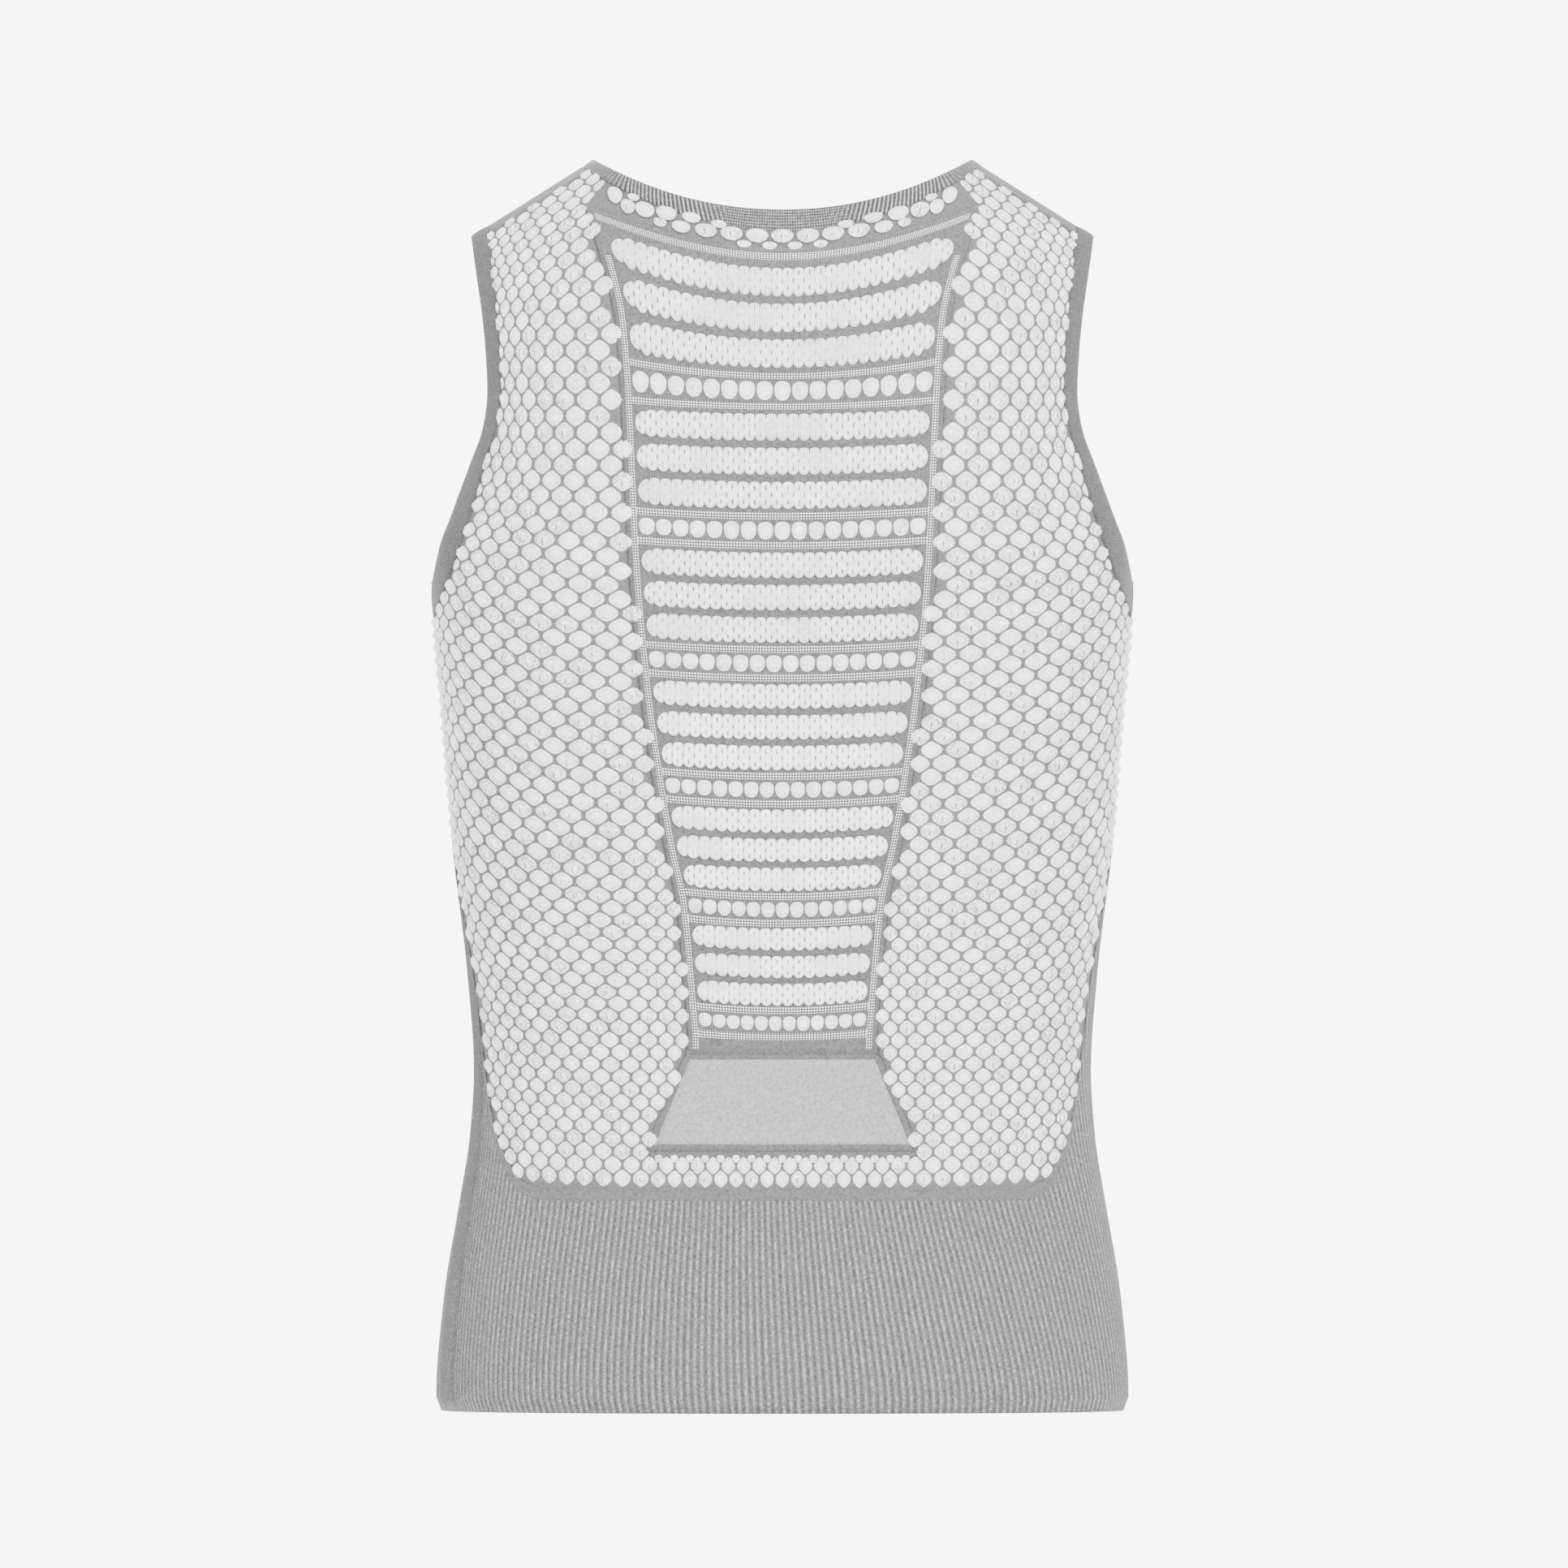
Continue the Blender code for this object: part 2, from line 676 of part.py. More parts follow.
def make_ladder(finish, collection):
    rows = []
    heights = []
    bottom = LADDER_EDGE[0][0] - LADDER_FOOT + SEAM_GAP
    levels = [(LADDER_TOP_CENTRE, 0.0)] + ladder_rows() + [(bottom, 0.0)]
    for level, (z_centre, lift) in enumerate(levels):
        row = []
        lifts = []
        for kind, share in ladder_columns():
            width = hole_width(z_centre)
            part = column_x(kind, share, width) / width
            z = z_centre
            if 0 < level < len(levels) - 1:
                bow_share = min(1.0, (level - 1) / BOW_SETTLES)
                z += mix(LADDER_TOP_CORNER - LADDER_TOP_CENTRE, BOW, bow_share) * part * part
            x = column_x(kind, share, hole_width(z))
            if level == 0:
                x, z = ladder_top_point(kind, share)
            row.append((angle_at(x, z), z))
            lifts.append(lift if kind == "raised" else 0.0)
        rows.append(row)
        heights.append(lifts)
    return raised_piece("ladder_panel", rows, heights, finish, collection)


def make_patch(finish, collection):
    rows = []
    top = PATCH_TOP[0] - SEAM_GAP / 2
    for k in range(PATCH_ROWS + 1):
        z = mix(top, PATCH_BOTTOM[0], k / PATCH_ROWS)
        width = hole_width(z)
        columns = range(PATCH_COLUMNS + 1)
        rows.append([(angle_at(width * (2 * i / PATCH_COLUMNS - 1), z), z) for i in columns])
    return cloth_piece("lower_patch", rows, False, finish, collection)


def main():
    for old in list(bpy.data.objects):
        bpy.data.objects.remove(old, do_unlink=True)
    garment = bpy.data.collections.new("cycling_base_layer")
    bpy.context.scene.collection.children.link(garment)
    grey = material("grey knit", GREY_KNIT, 0.85)
    pale = material("pale honeycomb knit", PALE_KNIT, 0.8)
    make_back_mesh(pale, garment)
    make_front_mesh(pale, garment)
    make_ladder(grey, garment)
    make_patch(grey, garment)
    make_waist_rib(grey, garment)
    make_neck_band(grey, garment)
    make_arm_band("armhole_band_left", 1, grey, garment)
    make_arm_band("armhole_band_right", -1, grey, garment)
    make_strip("shoulder_strip_left", 1, grey, garment)
    make_strip("shoulder_strip_right", -1, grey, garment)


main()
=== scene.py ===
import functools
import math

import bmesh
import bpy
import mathutils
import numpy as np
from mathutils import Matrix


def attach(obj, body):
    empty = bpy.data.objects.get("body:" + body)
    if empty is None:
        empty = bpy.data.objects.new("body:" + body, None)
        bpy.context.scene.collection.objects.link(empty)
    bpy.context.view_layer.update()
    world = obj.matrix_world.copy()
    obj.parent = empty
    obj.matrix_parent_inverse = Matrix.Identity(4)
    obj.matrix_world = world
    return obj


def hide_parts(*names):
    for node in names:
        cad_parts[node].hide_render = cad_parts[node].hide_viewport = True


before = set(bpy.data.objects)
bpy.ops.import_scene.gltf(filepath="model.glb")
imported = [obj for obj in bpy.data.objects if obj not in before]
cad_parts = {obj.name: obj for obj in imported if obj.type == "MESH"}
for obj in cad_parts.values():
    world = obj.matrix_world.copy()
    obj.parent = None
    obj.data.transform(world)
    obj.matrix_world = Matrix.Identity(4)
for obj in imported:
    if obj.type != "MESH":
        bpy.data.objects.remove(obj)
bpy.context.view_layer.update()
mm = 0.001
rng = np.random.default_rng(11)

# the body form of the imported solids, in millimetres
body = dict(
    neckHalf=93.5, neckZ=20.0, slope=0.63, tip=154.0, arch=88.0,
    backRise=170.0, frontRise=215.0, crest=1.8,
    neckBand=5.5, armBand=8.0, stripDrop=4.0, frontCut=7.0, armEase=(1.7, 1.5),
)
sections = np.array([
    # z, half breadth, back depth, front depth, power
    (-599, 168.6, 110, 110, 2.35),
    (-592, 170.8, 111, 111.5, 2.35),
    (-544, 167.1, 103, 109, 2.35),
    (-496, 159.3, 91, 105, 2.4),
    (-463, 154.1, 85, 102.5, 2.4),
    (-431, 152.1, 82, 101.5, 2.4),
    (-383, 155.3, 83, 104, 2.4),
    (-319, 162.9, 88, 109, 2.45),
    (-255, 168.3, 94, 112, 2.5),
    (-197, 172.8, 98, 112, 2.5),
    (-172, 172, 99, 112, 2.5),
    (-150, 167, 99, 111.5, 2.5),
    (-130, 161, 98.5, 111, 2.5),
    (-110, 156.5, 98, 110, 2.5),
    (-90, 155, 97.5, 109, 2.5),
    (-60, 157, 97, 108, 2.5),
    (-20, 161, 96, 106, 2.5),
    (60, 166, 95, 104, 2.5),
])
armholeEdge = [
    # z, half width
    (-197, 172.8), (-188, 172.3), (-176, 170.6), (-156, 163), (-136, 155),
    (-116, 148), (-96, 145.7), (-76, 146.6), (-56, 148.6), (-36, 151.5), (-18.1, 154),
]
bandEdge = [
    # z, half width
    (-206, 172.35), (-190, 166), (-172, 159.7), (-150, 152.5), (-130, 147),
    (-112, 141.5), (-96, 139.2), (-80, 139.6), (-60, 141.2), (-40, 143.4), (-13.1, 146),
]
waistEdge = [
    # degrees from the centre back or front, z
    (0, -489), (60, -489), (65, -485), (69.3, -475), (73.8, -460),
    (79.6, -423), (82, -383), (86.4, -343), (90, -310),
]
ladderEdge = [
    # z, half width
    (-414.5, 46), (-383, 48.5), (-347, 52), (-319, 58), (-283, 64), (-243, 69.5),
    (-183, 75), (-90, 79.5), (-60, 82), (-40, 86), (-20, 92), (-3, 97.5),
]
necklines = {  # low z at the centre, power
    ("edge", False): (-5.6, 2.1), ("band", False): (-15.6, 1.95),
    ("edge", True): (-52.0, 2.4), ("band", True): (-62.5, 2.3),
}
ladder = dict(
    topCentre=-25.0, topCorner=-3.0, cap=8.0, foot=7.5,
    patchTop=(-422.0, 47.5), patchBottom=(-469.5, 67.0),  # z, half width
)


def readTable(rows, at, column=1):
    rows = np.asarray(rows, float)
    where, value = rows[:, 0], rows[:, column]
    gap = np.diff(where)
    slope = np.diff(value) / gap
    product = slope[:-1] * slope[1:]
    total = np.where(product > 0, slope[:-1] + slope[1:], 1.0)
    tangent = np.concatenate(([slope[0]], np.where(product > 0, 2 * product / total, 0.0), [slope[-1]]))
    at = np.clip(at, where[0], where[-1])
    i = np.clip(np.searchsorted(where, at, side="right") - 1, 0, len(gap) - 1)
    t = (at - where[i]) / gap[i]
    bend = gap[i] * (1 - t) * t * (tangent[i] * (1 - t) - tangent[i + 1] * t)
    return value[i] * (1 - t) ** 2 * (1 + 2 * t) + value[i + 1] * t * t * (3 - 2 * t) + bend


def mix(a, b, share):
    return a + (b - a) * share


def eased(value, start, span):  # runs smoothly from 0 to 1 over the span
    t = np.clip((value - start) / span, 0.0, 1.0)
    return t**2 * (3 - 2 * t)


def crestHeight(x):
    out = np.abs(x)
    archZ = body["neckZ"] + body["slope"] * (body["neckHalf"] - body["arch"])
    curved = archZ + body["slope"] / (2 * body["arch"]) * (body["arch"] ** 2 - out**2)
    return np.where(out < body["arch"], curved, body["neckZ"] - body["slope"] * (out - body["neckHalf"]))


def rounding(x, z, front):
    rise = np.where(front, body["frontRise"], body["backRise"])
    left = np.clip(1 - np.maximum(0.0, crestHeight(x) - z) / rise, 0.0, 1.0)
    return np.maximum(0.0, 1 - left ** body["crest"]) ** (1 / body["crest"])


def section(z, front):
    depth = np.where(front, readTable(sections, z, 3), readTable(sections, z, 2))
    return readTable(sections, z, 1), depth, readTable(sections, z, 4)


def skin(angle, z):  # angle in degrees round from the centre back
    angle, z = np.broadcast_arrays(np.asarray(angle, float), np.asarray(z, float))
    turn = np.radians(angle)
    front = np.cos(turn) < 0
    half, depth, power = section(z, front)
    s, c = np.abs(np.sin(turn)), np.abs(np.cos(turn))
    reach = ((s / half) ** power + (c / depth) ** power) ** (-1 / power)
    x = reach * s * np.sign(np.sin(turn))
    y = reach * c * rounding(x, z, front)
    return np.stack([x, np.where(front, -y, y), z], -1)


def unit(v):
    return v / np.maximum(np.linalg.norm(v, axis=-1, keepdims=True), 1e-9)


def outward(angle, z):
    step = 0.25
    across = skin(angle + step, z) - skin(angle - step, z)
    up = skin(angle, z + step) - skin(angle, z - step)
    return unit(np.cross(up, across))


def onSkin(angle, z, lift=0.0):  # metres
    lift = np.asarray(lift, float)[..., None]
    return (skin(angle, z) + outward(angle, z) * lift) * mm


def angleAt(x, z, front=False):
    half, depth, power = section(z, front)
    y = depth * (1 - np.minimum(1.0, np.abs(x) / half) ** power) ** (1 / power)
    return np.copysign(np.degrees(np.arctan2(np.abs(x), np.where(front, -y, y))), x)


def neckHeight(kind, x, front):
    low, power = necklines[kind, front]
    reach = body["neckHalf"] + (body["neckBand"] if kind == "band" else 0.0)
    return low + (crestHeight(reach) - low) * (np.abs(x) / reach) ** power


def neckLine(kind, share, front, shift=0.0):  # shift moves it down over the skin
    x = (body["neckHalf"] + (body["neckBand"] if kind == "band" else 0.0)) * share
    z = neckHeight(kind, x, front)
    slope = (neckHeight(kind, x + 0.5, front) - neckHeight(kind, x - 0.5, front))
    size = np.hypot(1.0, slope)
    x, z = x + shift * slope / size, z - shift / size
    return np.stack([angleAt(x, np.minimum(z, crestHeight(x)), front), z], -1)


def armWidth(kind, z, front):
    rows = armholeEdge if kind == "edge" else bandEdge
    share = np.clip((z - rows[0][0]) / (rows[-1][0] - rows[0][0]), 0.0, 1.0)
    return readTable(rows, z) - (body["frontCut"] * np.sin(math.pi * share) ** 2 if front else 0.0)


def armLine(kind, share, front):
    rows = armholeEdge if kind == "edge" else bandEdge
    share = np.clip(share, 0.0, 1.0)
    ease = 1 - (1 - share ** body["armEase"][0]) ** body["armEase"][1]
    z = mix(rows[-1][0], rows[0][0], ease)
    angle = np.where(share >= 1, 90.0, angleAt(armWidth(kind, z, front), z, front))
    return np.stack([angle, z], -1)


def beside(line, at, step, amount):  # a line moved sideways over the skin
    here = line(at)
    before, after = line(at - step), line(at + step)
    along = unit(skin(after[..., 0], after[..., 1]) - skin(before[..., 0], before[..., 1]))
    moved = skin(here[..., 0], here[..., 1]) + np.cross(along, outward(here[..., 0], here[..., 1])) * amount
    front = np.cos(np.radians(here[..., 0])) < 0
    depth = moved[..., 1] / np.maximum(rounding(moved[..., 0], moved[..., 2], front), 0.01)
    return np.stack([np.degrees(np.arctan2(moved[..., 0], depth)), moved[..., 2]], -1)


def besideArm(share, front, amount):  # the armhole band's inner line moved onto the mesh or back
    by = beside(lambda t: armLine("band", t, front), share, 0.01, amount if front else -amount)
    here = armLine("band", share, front)
    near = angleAt(armWidth("band", here[..., 1], front) - amount, here[..., 1], front)
    return np.where(share[..., None] < 0.3, np.stack([near, here[..., 1]], -1), by)


underarm = dict(width=11.0, wider=7.0, foot=1.5, start=0.5, footStart=0.85)


def armOpening(share, front):  # the hidden underarm is rounded off at an even band's width
    start, footStart = underarm["start"], underarm["footStart"]
    width = underarm["width"] + underarm["wider"] * eased(share, start, footStart - start)
    width -= underarm["foot"] * eased(share, footStart, 1 - footStart)
    even = beside(lambda t: armLine("band", t, front), share, 0.01, (-width if front else width)[:, None])
    return mix(armLine("edge", share, front), even, eased(share, start, 0.25)[:, None])


def neckMeeting(drop, front):
    x = np.linspace(body["neckHalf"] / 2, body["neckHalf"] + body["neckBand"], 2000)
    return x[np.argmin(np.abs(crestHeight(x) - neckHeight("band", x, front) - drop))]


def stripLine(share, drop, front, gap=0.4):
    start = neckMeeting(drop, front) + gap
    end = body["tip"] - body["armBand"]
    end = armWidth("band", crestHeight(end) - drop, front) - gap
    x = start + (end - start) * share
    z = crestHeight(x) - drop
    return np.stack([angleAt(x, z, front), z], -1)


def holeWidth(z):
    top, bottom = ladder["patchTop"], ladder["patchBottom"]
    share = np.clip((top[0] - z) / (top[0] - bottom[0]), 0.0, 1.0)
    return np.where(z > top[0], readTable(ladderEdge, z), mix(top[1], bottom[1], share))


def ladderTop(share):
    return ladder["topCentre"] + (ladder["topCorner"] - ladder["topCentre"]) * np.abs(share) ** 2


def rings(count):  # evenly spaced shares without the last one
    return np.arange(count) / count


edgeParts = dict(neck=8, strip=4, arm=13, side=5, waist=12)  # points along each stretch of a panel's edge
waistStops = [90, 88, 86.4, 82, 79.6, 76.7, 73.8, 69.3, 65, 60, 40, 20, 0]
holeLevels = dict(corner=6.0, armFoot=-200.0, sideFoot=-300.0)  # where they end on the ladder's side


def panelEdge(front, grain, gap=0.4):  # right-hand outer edge of a mesh panel, centre neck to centre waist
    neck, strip, arm, side, waist = [count * grain for count in edgeParts.values()]
    top = bandEdge[0][0] - gap
    foot = waistEdge[-1][1] + gap
    turn = np.interp(np.arange(waist + 1) / grain, np.arange(len(waistStops)), waistStops)
    return np.concatenate([
        neckLine("band", rings(neck), front, gap),
        stripLine(np.arange(strip + 1) / strip, body["stripDrop"] + gap, front),
        besideArm(np.arange(1, arm) / arm, front, gap),
        np.stack([np.full(side, 90.0), mix(top, foot, rings(side))], -1),
        np.stack([180 - turn if front else turn, readTable(waistEdge, turn) + gap], -1),
    ])


def holeEdge(grain, gap=0.4):  # right-hand edge round ladder and patch, matched to panelEdge
    neck, strip, arm, side = [edgeParts[key] * grain for key in ("neck", "strip", "arm", "side")]
    belowSide, besidePatch, underPatch = 5 * grain, 3 * grain, 4 * grain  # together the waist's points
    t = rings(neck)
    z = ladderTop(t)
    top = np.stack([angleAt(t * holeWidth(z), z + gap), z + gap], -1)
    corner = ladder["topCorner"] + gap
    low = corner - holeLevels["corner"]
    armFoot, sideFoot = holeLevels["armFoot"], holeLevels["sideFoot"]
    patchTop, floor = ladder["patchTop"][0], ladder["patchBottom"][0] - gap
    heights = np.concatenate([
        mix(corner, low, np.arange(strip + 1) / strip),
        mix(low, armFoot, 1 - (1 - np.arange(1, arm + 1) / arm) ** body["armEase"][1]),
        mix(armFoot, sideFoot, np.arange(1, side) / side),
        mix(sideFoot, patchTop, rings(belowSide)),
        mix(patchTop, floor, rings(besidePatch)),
    ])
    sideLine = np.stack([angleAt(holeWidth(heights) + gap, heights), heights], -1)
    across = (holeWidth(floor) + gap) * (1 - np.arange(underPatch + 1) / underPatch)
    floorLine = np.stack([angleAt(across, floor), np.full_like(across, floor)], -1)
    return np.concatenate([top, sideLine, floorLine])


def wholeLoop(half):
    return np.concatenate([half, half[-2:0:-1] * [-1, 1]])


def look(table, rowGrid, columnGrid, row, column):  # bilinear reading of a regular table
    r = np.clip((row - rowGrid[0]) / (rowGrid[1] - rowGrid[0]), 0, len(rowGrid) - 1.001)
    c = np.clip((column - columnGrid[0]) / (columnGrid[1] - columnGrid[0]), 0, len(columnGrid) - 1.001)
    i, j = r.astype(int), c.astype(int)
    a, b = r - i, c - j
    low = table[i, j] * (1 - b) + table[i, j + 1] * b
    high = table[i + 1, j] * (1 - b) + table[i + 1, j + 1] * b
    return low * (1 - a) + high * a


# the knit's own coordinates: wales round from the centre, courses up from a level line
knit = dict(
    wale=11.8, course=7.5, level=-483.6, hidden=7.6, halfRound=36, seam=(-333.0, -201.0),
    hiddenTo=50.0, hiddenFade=30.0, sideFrom=100.0, sideFade=50.0, slopeAt=150.0, slopeEnd=185.0,
)
walePitch = [
    # z, pitch beside the ladder, pitch towards the side
    (-505, 9.6, 9), (-464, 9.9, 9.2), (-423, 10.3, 10.1), (-391, 11.2, 10.4),
    (-359, 12.3, 11.8), (-327, 12.8, 12.8), (-295, 13.3, 13.6), (-263, 13.7, 14.1),
    (-231, 13.6, 14.2), (-199, 13.7, 13.7), (-175, 13.5, 12.6), (-143, 12.8, 9.8),
    (-110, 12.7, 7.4), (-70, 12.7, 7.4), (-34, 11.2, 7.4), (0, 9, 7.2), (26, 8, 7),
]
coursePitch = [
    (-505, 6.7), (-478, 6.6), (-464, 6.1), (-423, 6.1), (-391, 5.8), (-359, 5.9),
    (-327, 6.5), (-295, 6.65), (-231, 6.7), (-199, 6.95), (-175, 7.15), (-150, 7.7),
    (-110, 8.2), (26, 8.2),
]
crestPitch = [  # course pitch by the depth below the shoulder line
    (0, 3.4), (10, 4.4), (22, 5.2), (45, 6.7), (65, 7.6), (85, 8.1), (120, 8.3),
]
courseSlope = [  # how steeply the courses climb 150 mm out from the centre
    (-505, 0.12), (-464, 0.14), (-423, 0.11), (-391, 0.11), (-359, 0.15), (-327, 0.195),
    (-295, 0.21), (-231, 0.21), (-199, 0.18), (-175, 0.15), (-150, 0.09), (-110, 0.03),
    (-70, 0), (26, 0),
]


def running(values, step, axis):  # integral by the trapezium rule
    values = np.moveaxis(values, axis, 0)
    out = np.concatenate([np.zeros_like(values[:1]), np.cumsum((values[1:] + values[:-1]) / 2 * step, 0)])
    return np.moveaxis(out, 0, axis)


class KnitMap:
    def __init__(self, front):
        self.front = front
        self.z = np.linspace(-505.0, 26.0, 267)
        self.sweep = np.linspace(0.0, 100.0, 401)  # runs on past the side seam at 90
        self.u = np.linspace(0.0, 26.0, 261)
        self.v = np.linspace(-6.0, 100.0, 849)
        z, sweep = np.meshgrid(self.z, self.sweep, indexing="ij")
        half, depth, power = section(z, front)
        s, c = np.sin(np.radians(sweep)), np.abs(np.cos(np.radians(sweep)))
        reach = ((s / half) ** power + (c / depth) ** power) ** (-1 / power)
        length = np.hypot(np.diff(reach * s, axis=1), np.diff(reach * c, axis=1))
        arc = np.concatenate([np.zeros((len(self.z), 1)), np.cumsum(length, 1)], 1)
        beside = readTable(walePitch, z, 1)
        shown = np.clip((arc - knit["hiddenTo"]) / knit["hiddenFade"], 0.0, 1.0)
        pitch = beside if front else mix(knit["hidden"], beside, shown)
        towardsSide = np.clip((arc - knit["sideFrom"]) / knit["sideFade"], 0.0, 1.0)
        pitch = mix(pitch, readTable(walePitch, z, 2), towardsSide)
        rate = (1 / pitch[:, 1:] + 1 / pitch[:, :-1]) / 2
        self.waleAt = np.concatenate([np.zeros((len(self.z), 1)), np.cumsum(length * rate, 1)], 1)
        if front:  # its wales join the back's at the side seam
            seam = np.argmin(np.abs(self.sweep - 90.0))
            meeting = (self.z > knit["seam"][0]) & (self.z < knit["seam"][1])
            fit = (knit["halfRound"] - KnitMap(False).waleAt[:, seam]) / self.waleAt[:, seam]
            self.waleAt *= np.interp(self.z, self.z[meeting], fit[meeting])[:, None]
        self.sweepAt = np.array([np.interp(self.u, row, self.sweep) for row in self.waleAt])
        rowPitch = np.minimum(readTable(coursePitch, z), readTable(crestPitch, crestHeight(reach * s) - z))
        climb = running(1 / rowPitch, self.z[1] - self.z[0], 0)
        climb = climb - np.array([np.interp(knit["level"], self.z, column) for column in climb.T])
        slopeAt = knit["slopeAt"]
        rise = readTable(courseSlope, z) * slopeAt / 4 * (np.minimum(arc, knit["slopeEnd"]) / slopeAt) ** 4
        climb = look(climb, self.z, self.sweep, z - rise, sweep)
        self.courseAt = np.array([np.interp(at, self.sweep, row) for at, row in zip(self.sweepAt, climb)])
        self.heightAt = np.array([np.interp(self.v, column, self.z) for column in self.courseAt.T]).T

    def turned(self, sweep):
        return 180.0 - sweep if self.front else sweep

    def locate(self, u, v):  # angle and height of a place in the knit
        z = look(self.heightAt, self.v, self.u, v, np.abs(u))
        sweep = look(self.sweepAt, self.z, self.u, z, np.abs(u))
        return np.copysign(self.turned(sweep), u), z

    def read(self, line):  # place in the knit, in lattice millimetres, of angles and heights
        sweep = self.turned(np.abs(line[..., 0]))
        u = look(self.waleAt, self.z, self.sweep, line[..., 1], sweep)
        v = look(self.courseAt, self.z, self.u, line[..., 1], u)
        u = np.copysign(u, line[..., 0])
        return np.stack([u * knit["wale"], v * knit["course"]], -1)


def inside(points, outline, batch=20000):  # even-odd test in the plane
    found = np.zeros(len(points), bool)
    a, b = outline, np.roll(outline, -1, 0)
    for start in range(0, len(points), batch):
        p = points[start:start + batch]
        span = (a[:, 1] > p[:, None, 1]) != (b[:, 1] > p[:, None, 1])
        rise = np.where(b[:, 1] == a[:, 1], 1e-9, b[:, 1] - a[:, 1])
        cut = a[:, 0] + (p[:, None, 1] - a[:, 1]) / rise * (b[:, 0] - a[:, 0])
        found[start:start + batch] = (span & (p[:, None, 0] < cut)).sum(1) % 2 == 1
    return found


def pushed(outline, amount):  # outline moved outwards in the plane
    before, after = np.roll(outline, 1, 0), np.roll(outline, -1, 0)
    along = unit(after - before)
    area = np.sum(outline[:, 0] * after[:, 1] - after[:, 0] * outline[:, 1])
    normal = np.stack([along[:, 1], -along[:, 0]], -1) * (1 if area > 0 else -1)
    return outline + normal * amount


def gridFaces(rows, columns, closed):
    index = np.arange(rows * columns).reshape(rows, columns)
    if closed:
        index = np.concatenate([index, index[:, :1]], 1)
    return np.stack([index[:-1, :-1], index[:-1, 1:], index[1:, 1:], index[1:, :-1]], -1).reshape(-1, 4)


def addObject(name, data):
    piece = bpy.data.objects.new(name, data)
    bpy.context.scene.collection.objects.link(piece)
    return piece


def makeObject(name, vertices, faces, uv, material, shade=None):  # turned to face out of the garment
    centre = np.array([0.0, 0.0, -0.3])
    first = vertices[faces[:, 0]]
    normal = np.cross(vertices[faces[:, 1]] - first, vertices[faces[:, 2]] - first)
    layers = {"knit": uv} if shade is None else {"knit": uv, "shade": np.stack([shade, shade], -1)}
    if np.sum(normal * (first - centre)) < 0:
        faces = faces[:, ::-1]
        layers = {key: value.reshape(len(faces), -1, 2)[:, ::-1] for key, value in layers.items()}
    mesh = bpy.data.meshes.new(name)
    mesh.from_pydata(vertices.tolist(), [], faces.tolist())
    for key, value in layers.items():
        mesh.uv_layers.new(name=key).data.foreach_set("uv", np.ascontiguousarray(value, np.float32).ravel())
    mesh.shade_smooth()
    mesh.materials.append(material)
    return addObject(name, mesh)


def gridPiece(name, points, closed, material, wall=0.0, uv=None):
    uv = gridUv(points, closed) if uv is None else uv
    rows, columns = points.shape[:2]
    faces = gridFaces(rows, columns, closed)
    places = uv.reshape(-1, 2)[gridFaces(rows, columns + (1 if closed else 0), False)]
    piece = makeObject(name, points.reshape(-1, 3), faces, places.reshape(-1, 2), material)
    if wall:
        thick = piece.modifiers.new("cloth thickness", "SOLIDIFY")
        thick.thickness = wall * mm
        thick.offset = -1.0
    return piece


def runLength(points):  # metres along each row, so that a pattern keeps its scale
    return np.concatenate([[0.0], np.cumsum(np.linalg.norm(np.diff(points, axis=0), axis=-1))])


def gridUv(points, closed):
    middle = points[len(points) // 2]
    if closed:
        middle = np.concatenate([middle, middle[:1]])
    across = runLength(middle)
    down = runLength(points[:, 0])
    return np.stack(np.meshgrid(across, down, indexing="xy"), -1)


def blended(left, right, top, bottom):  # fills the inside of four edges; left and right run downwards
    v = np.linspace(0, 1, len(left))[:, None, None]
    u = np.linspace(0, 1, len(top))[None, :, None]
    sides = mix(left[:, None], right[:, None], u) + mix(top[None], bottom[None], v)
    return sides - mix(mix(top[0], top[-1], u), mix(bottom[0], bottom[-1], u), v)


def roundFront(line):  # counts on past the centre front, so that no row jumps
    return np.stack([np.where(line[..., 0] < 0, 360 + line[..., 0], line[..., 0]), line[..., 1]], -1)


def linear(hexColour):
    parts = [int(hexColour[i:i + 2], 16) / 255 for i in (0, 2, 4)]
    return tuple(p / 12.92 if p <= 0.04045 else ((p + 0.055) / 1.055) ** 2.4 for p in parts) + (1.0,)


def addNode(tree, kind, inputs=(), out=0, stops=(), **settings):  # a node such as "Math.ADD"; gives an output
    kind, _, operation = kind.partition(".")
    node = tree.nodes.new("ShaderNode" + kind)
    if operation:
        node.operation = operation
    for key, value in settings.items():
        setattr(node, key, value)
    for key, value in inputs.items() if isinstance(inputs, dict) else enumerate(inputs):
        if isinstance(value, bpy.types.NodeSocket):
            tree.links.new(value, node.inputs[key])
        else:
            node.inputs[key].default_value = value
    if stops:
        elements = node.color_ramp.elements
        while len(elements) < len(stops):
            elements.new(0.5)
        for element, (place, colour) in zip(elements, stops):
            element.position, element.color = place, linear(colour)
    return node.outputs[out]


def newMaterial(name, roughness, sheen):
    material = bpy.data.materials.new(name)
    material.use_nodes = True
    tree = material.node_tree
    shader = tree.nodes["Principled BSDF"]
    shader.inputs["Roughness"].default_value = roughness
    shader.inputs["Sheen Weight"].default_value = sheen
    shader.inputs["Sheen Roughness"].default_value = 0.5
    shader.inputs["Specular IOR Level"].default_value = 0.2
    return material, functools.partial(addNode, tree)


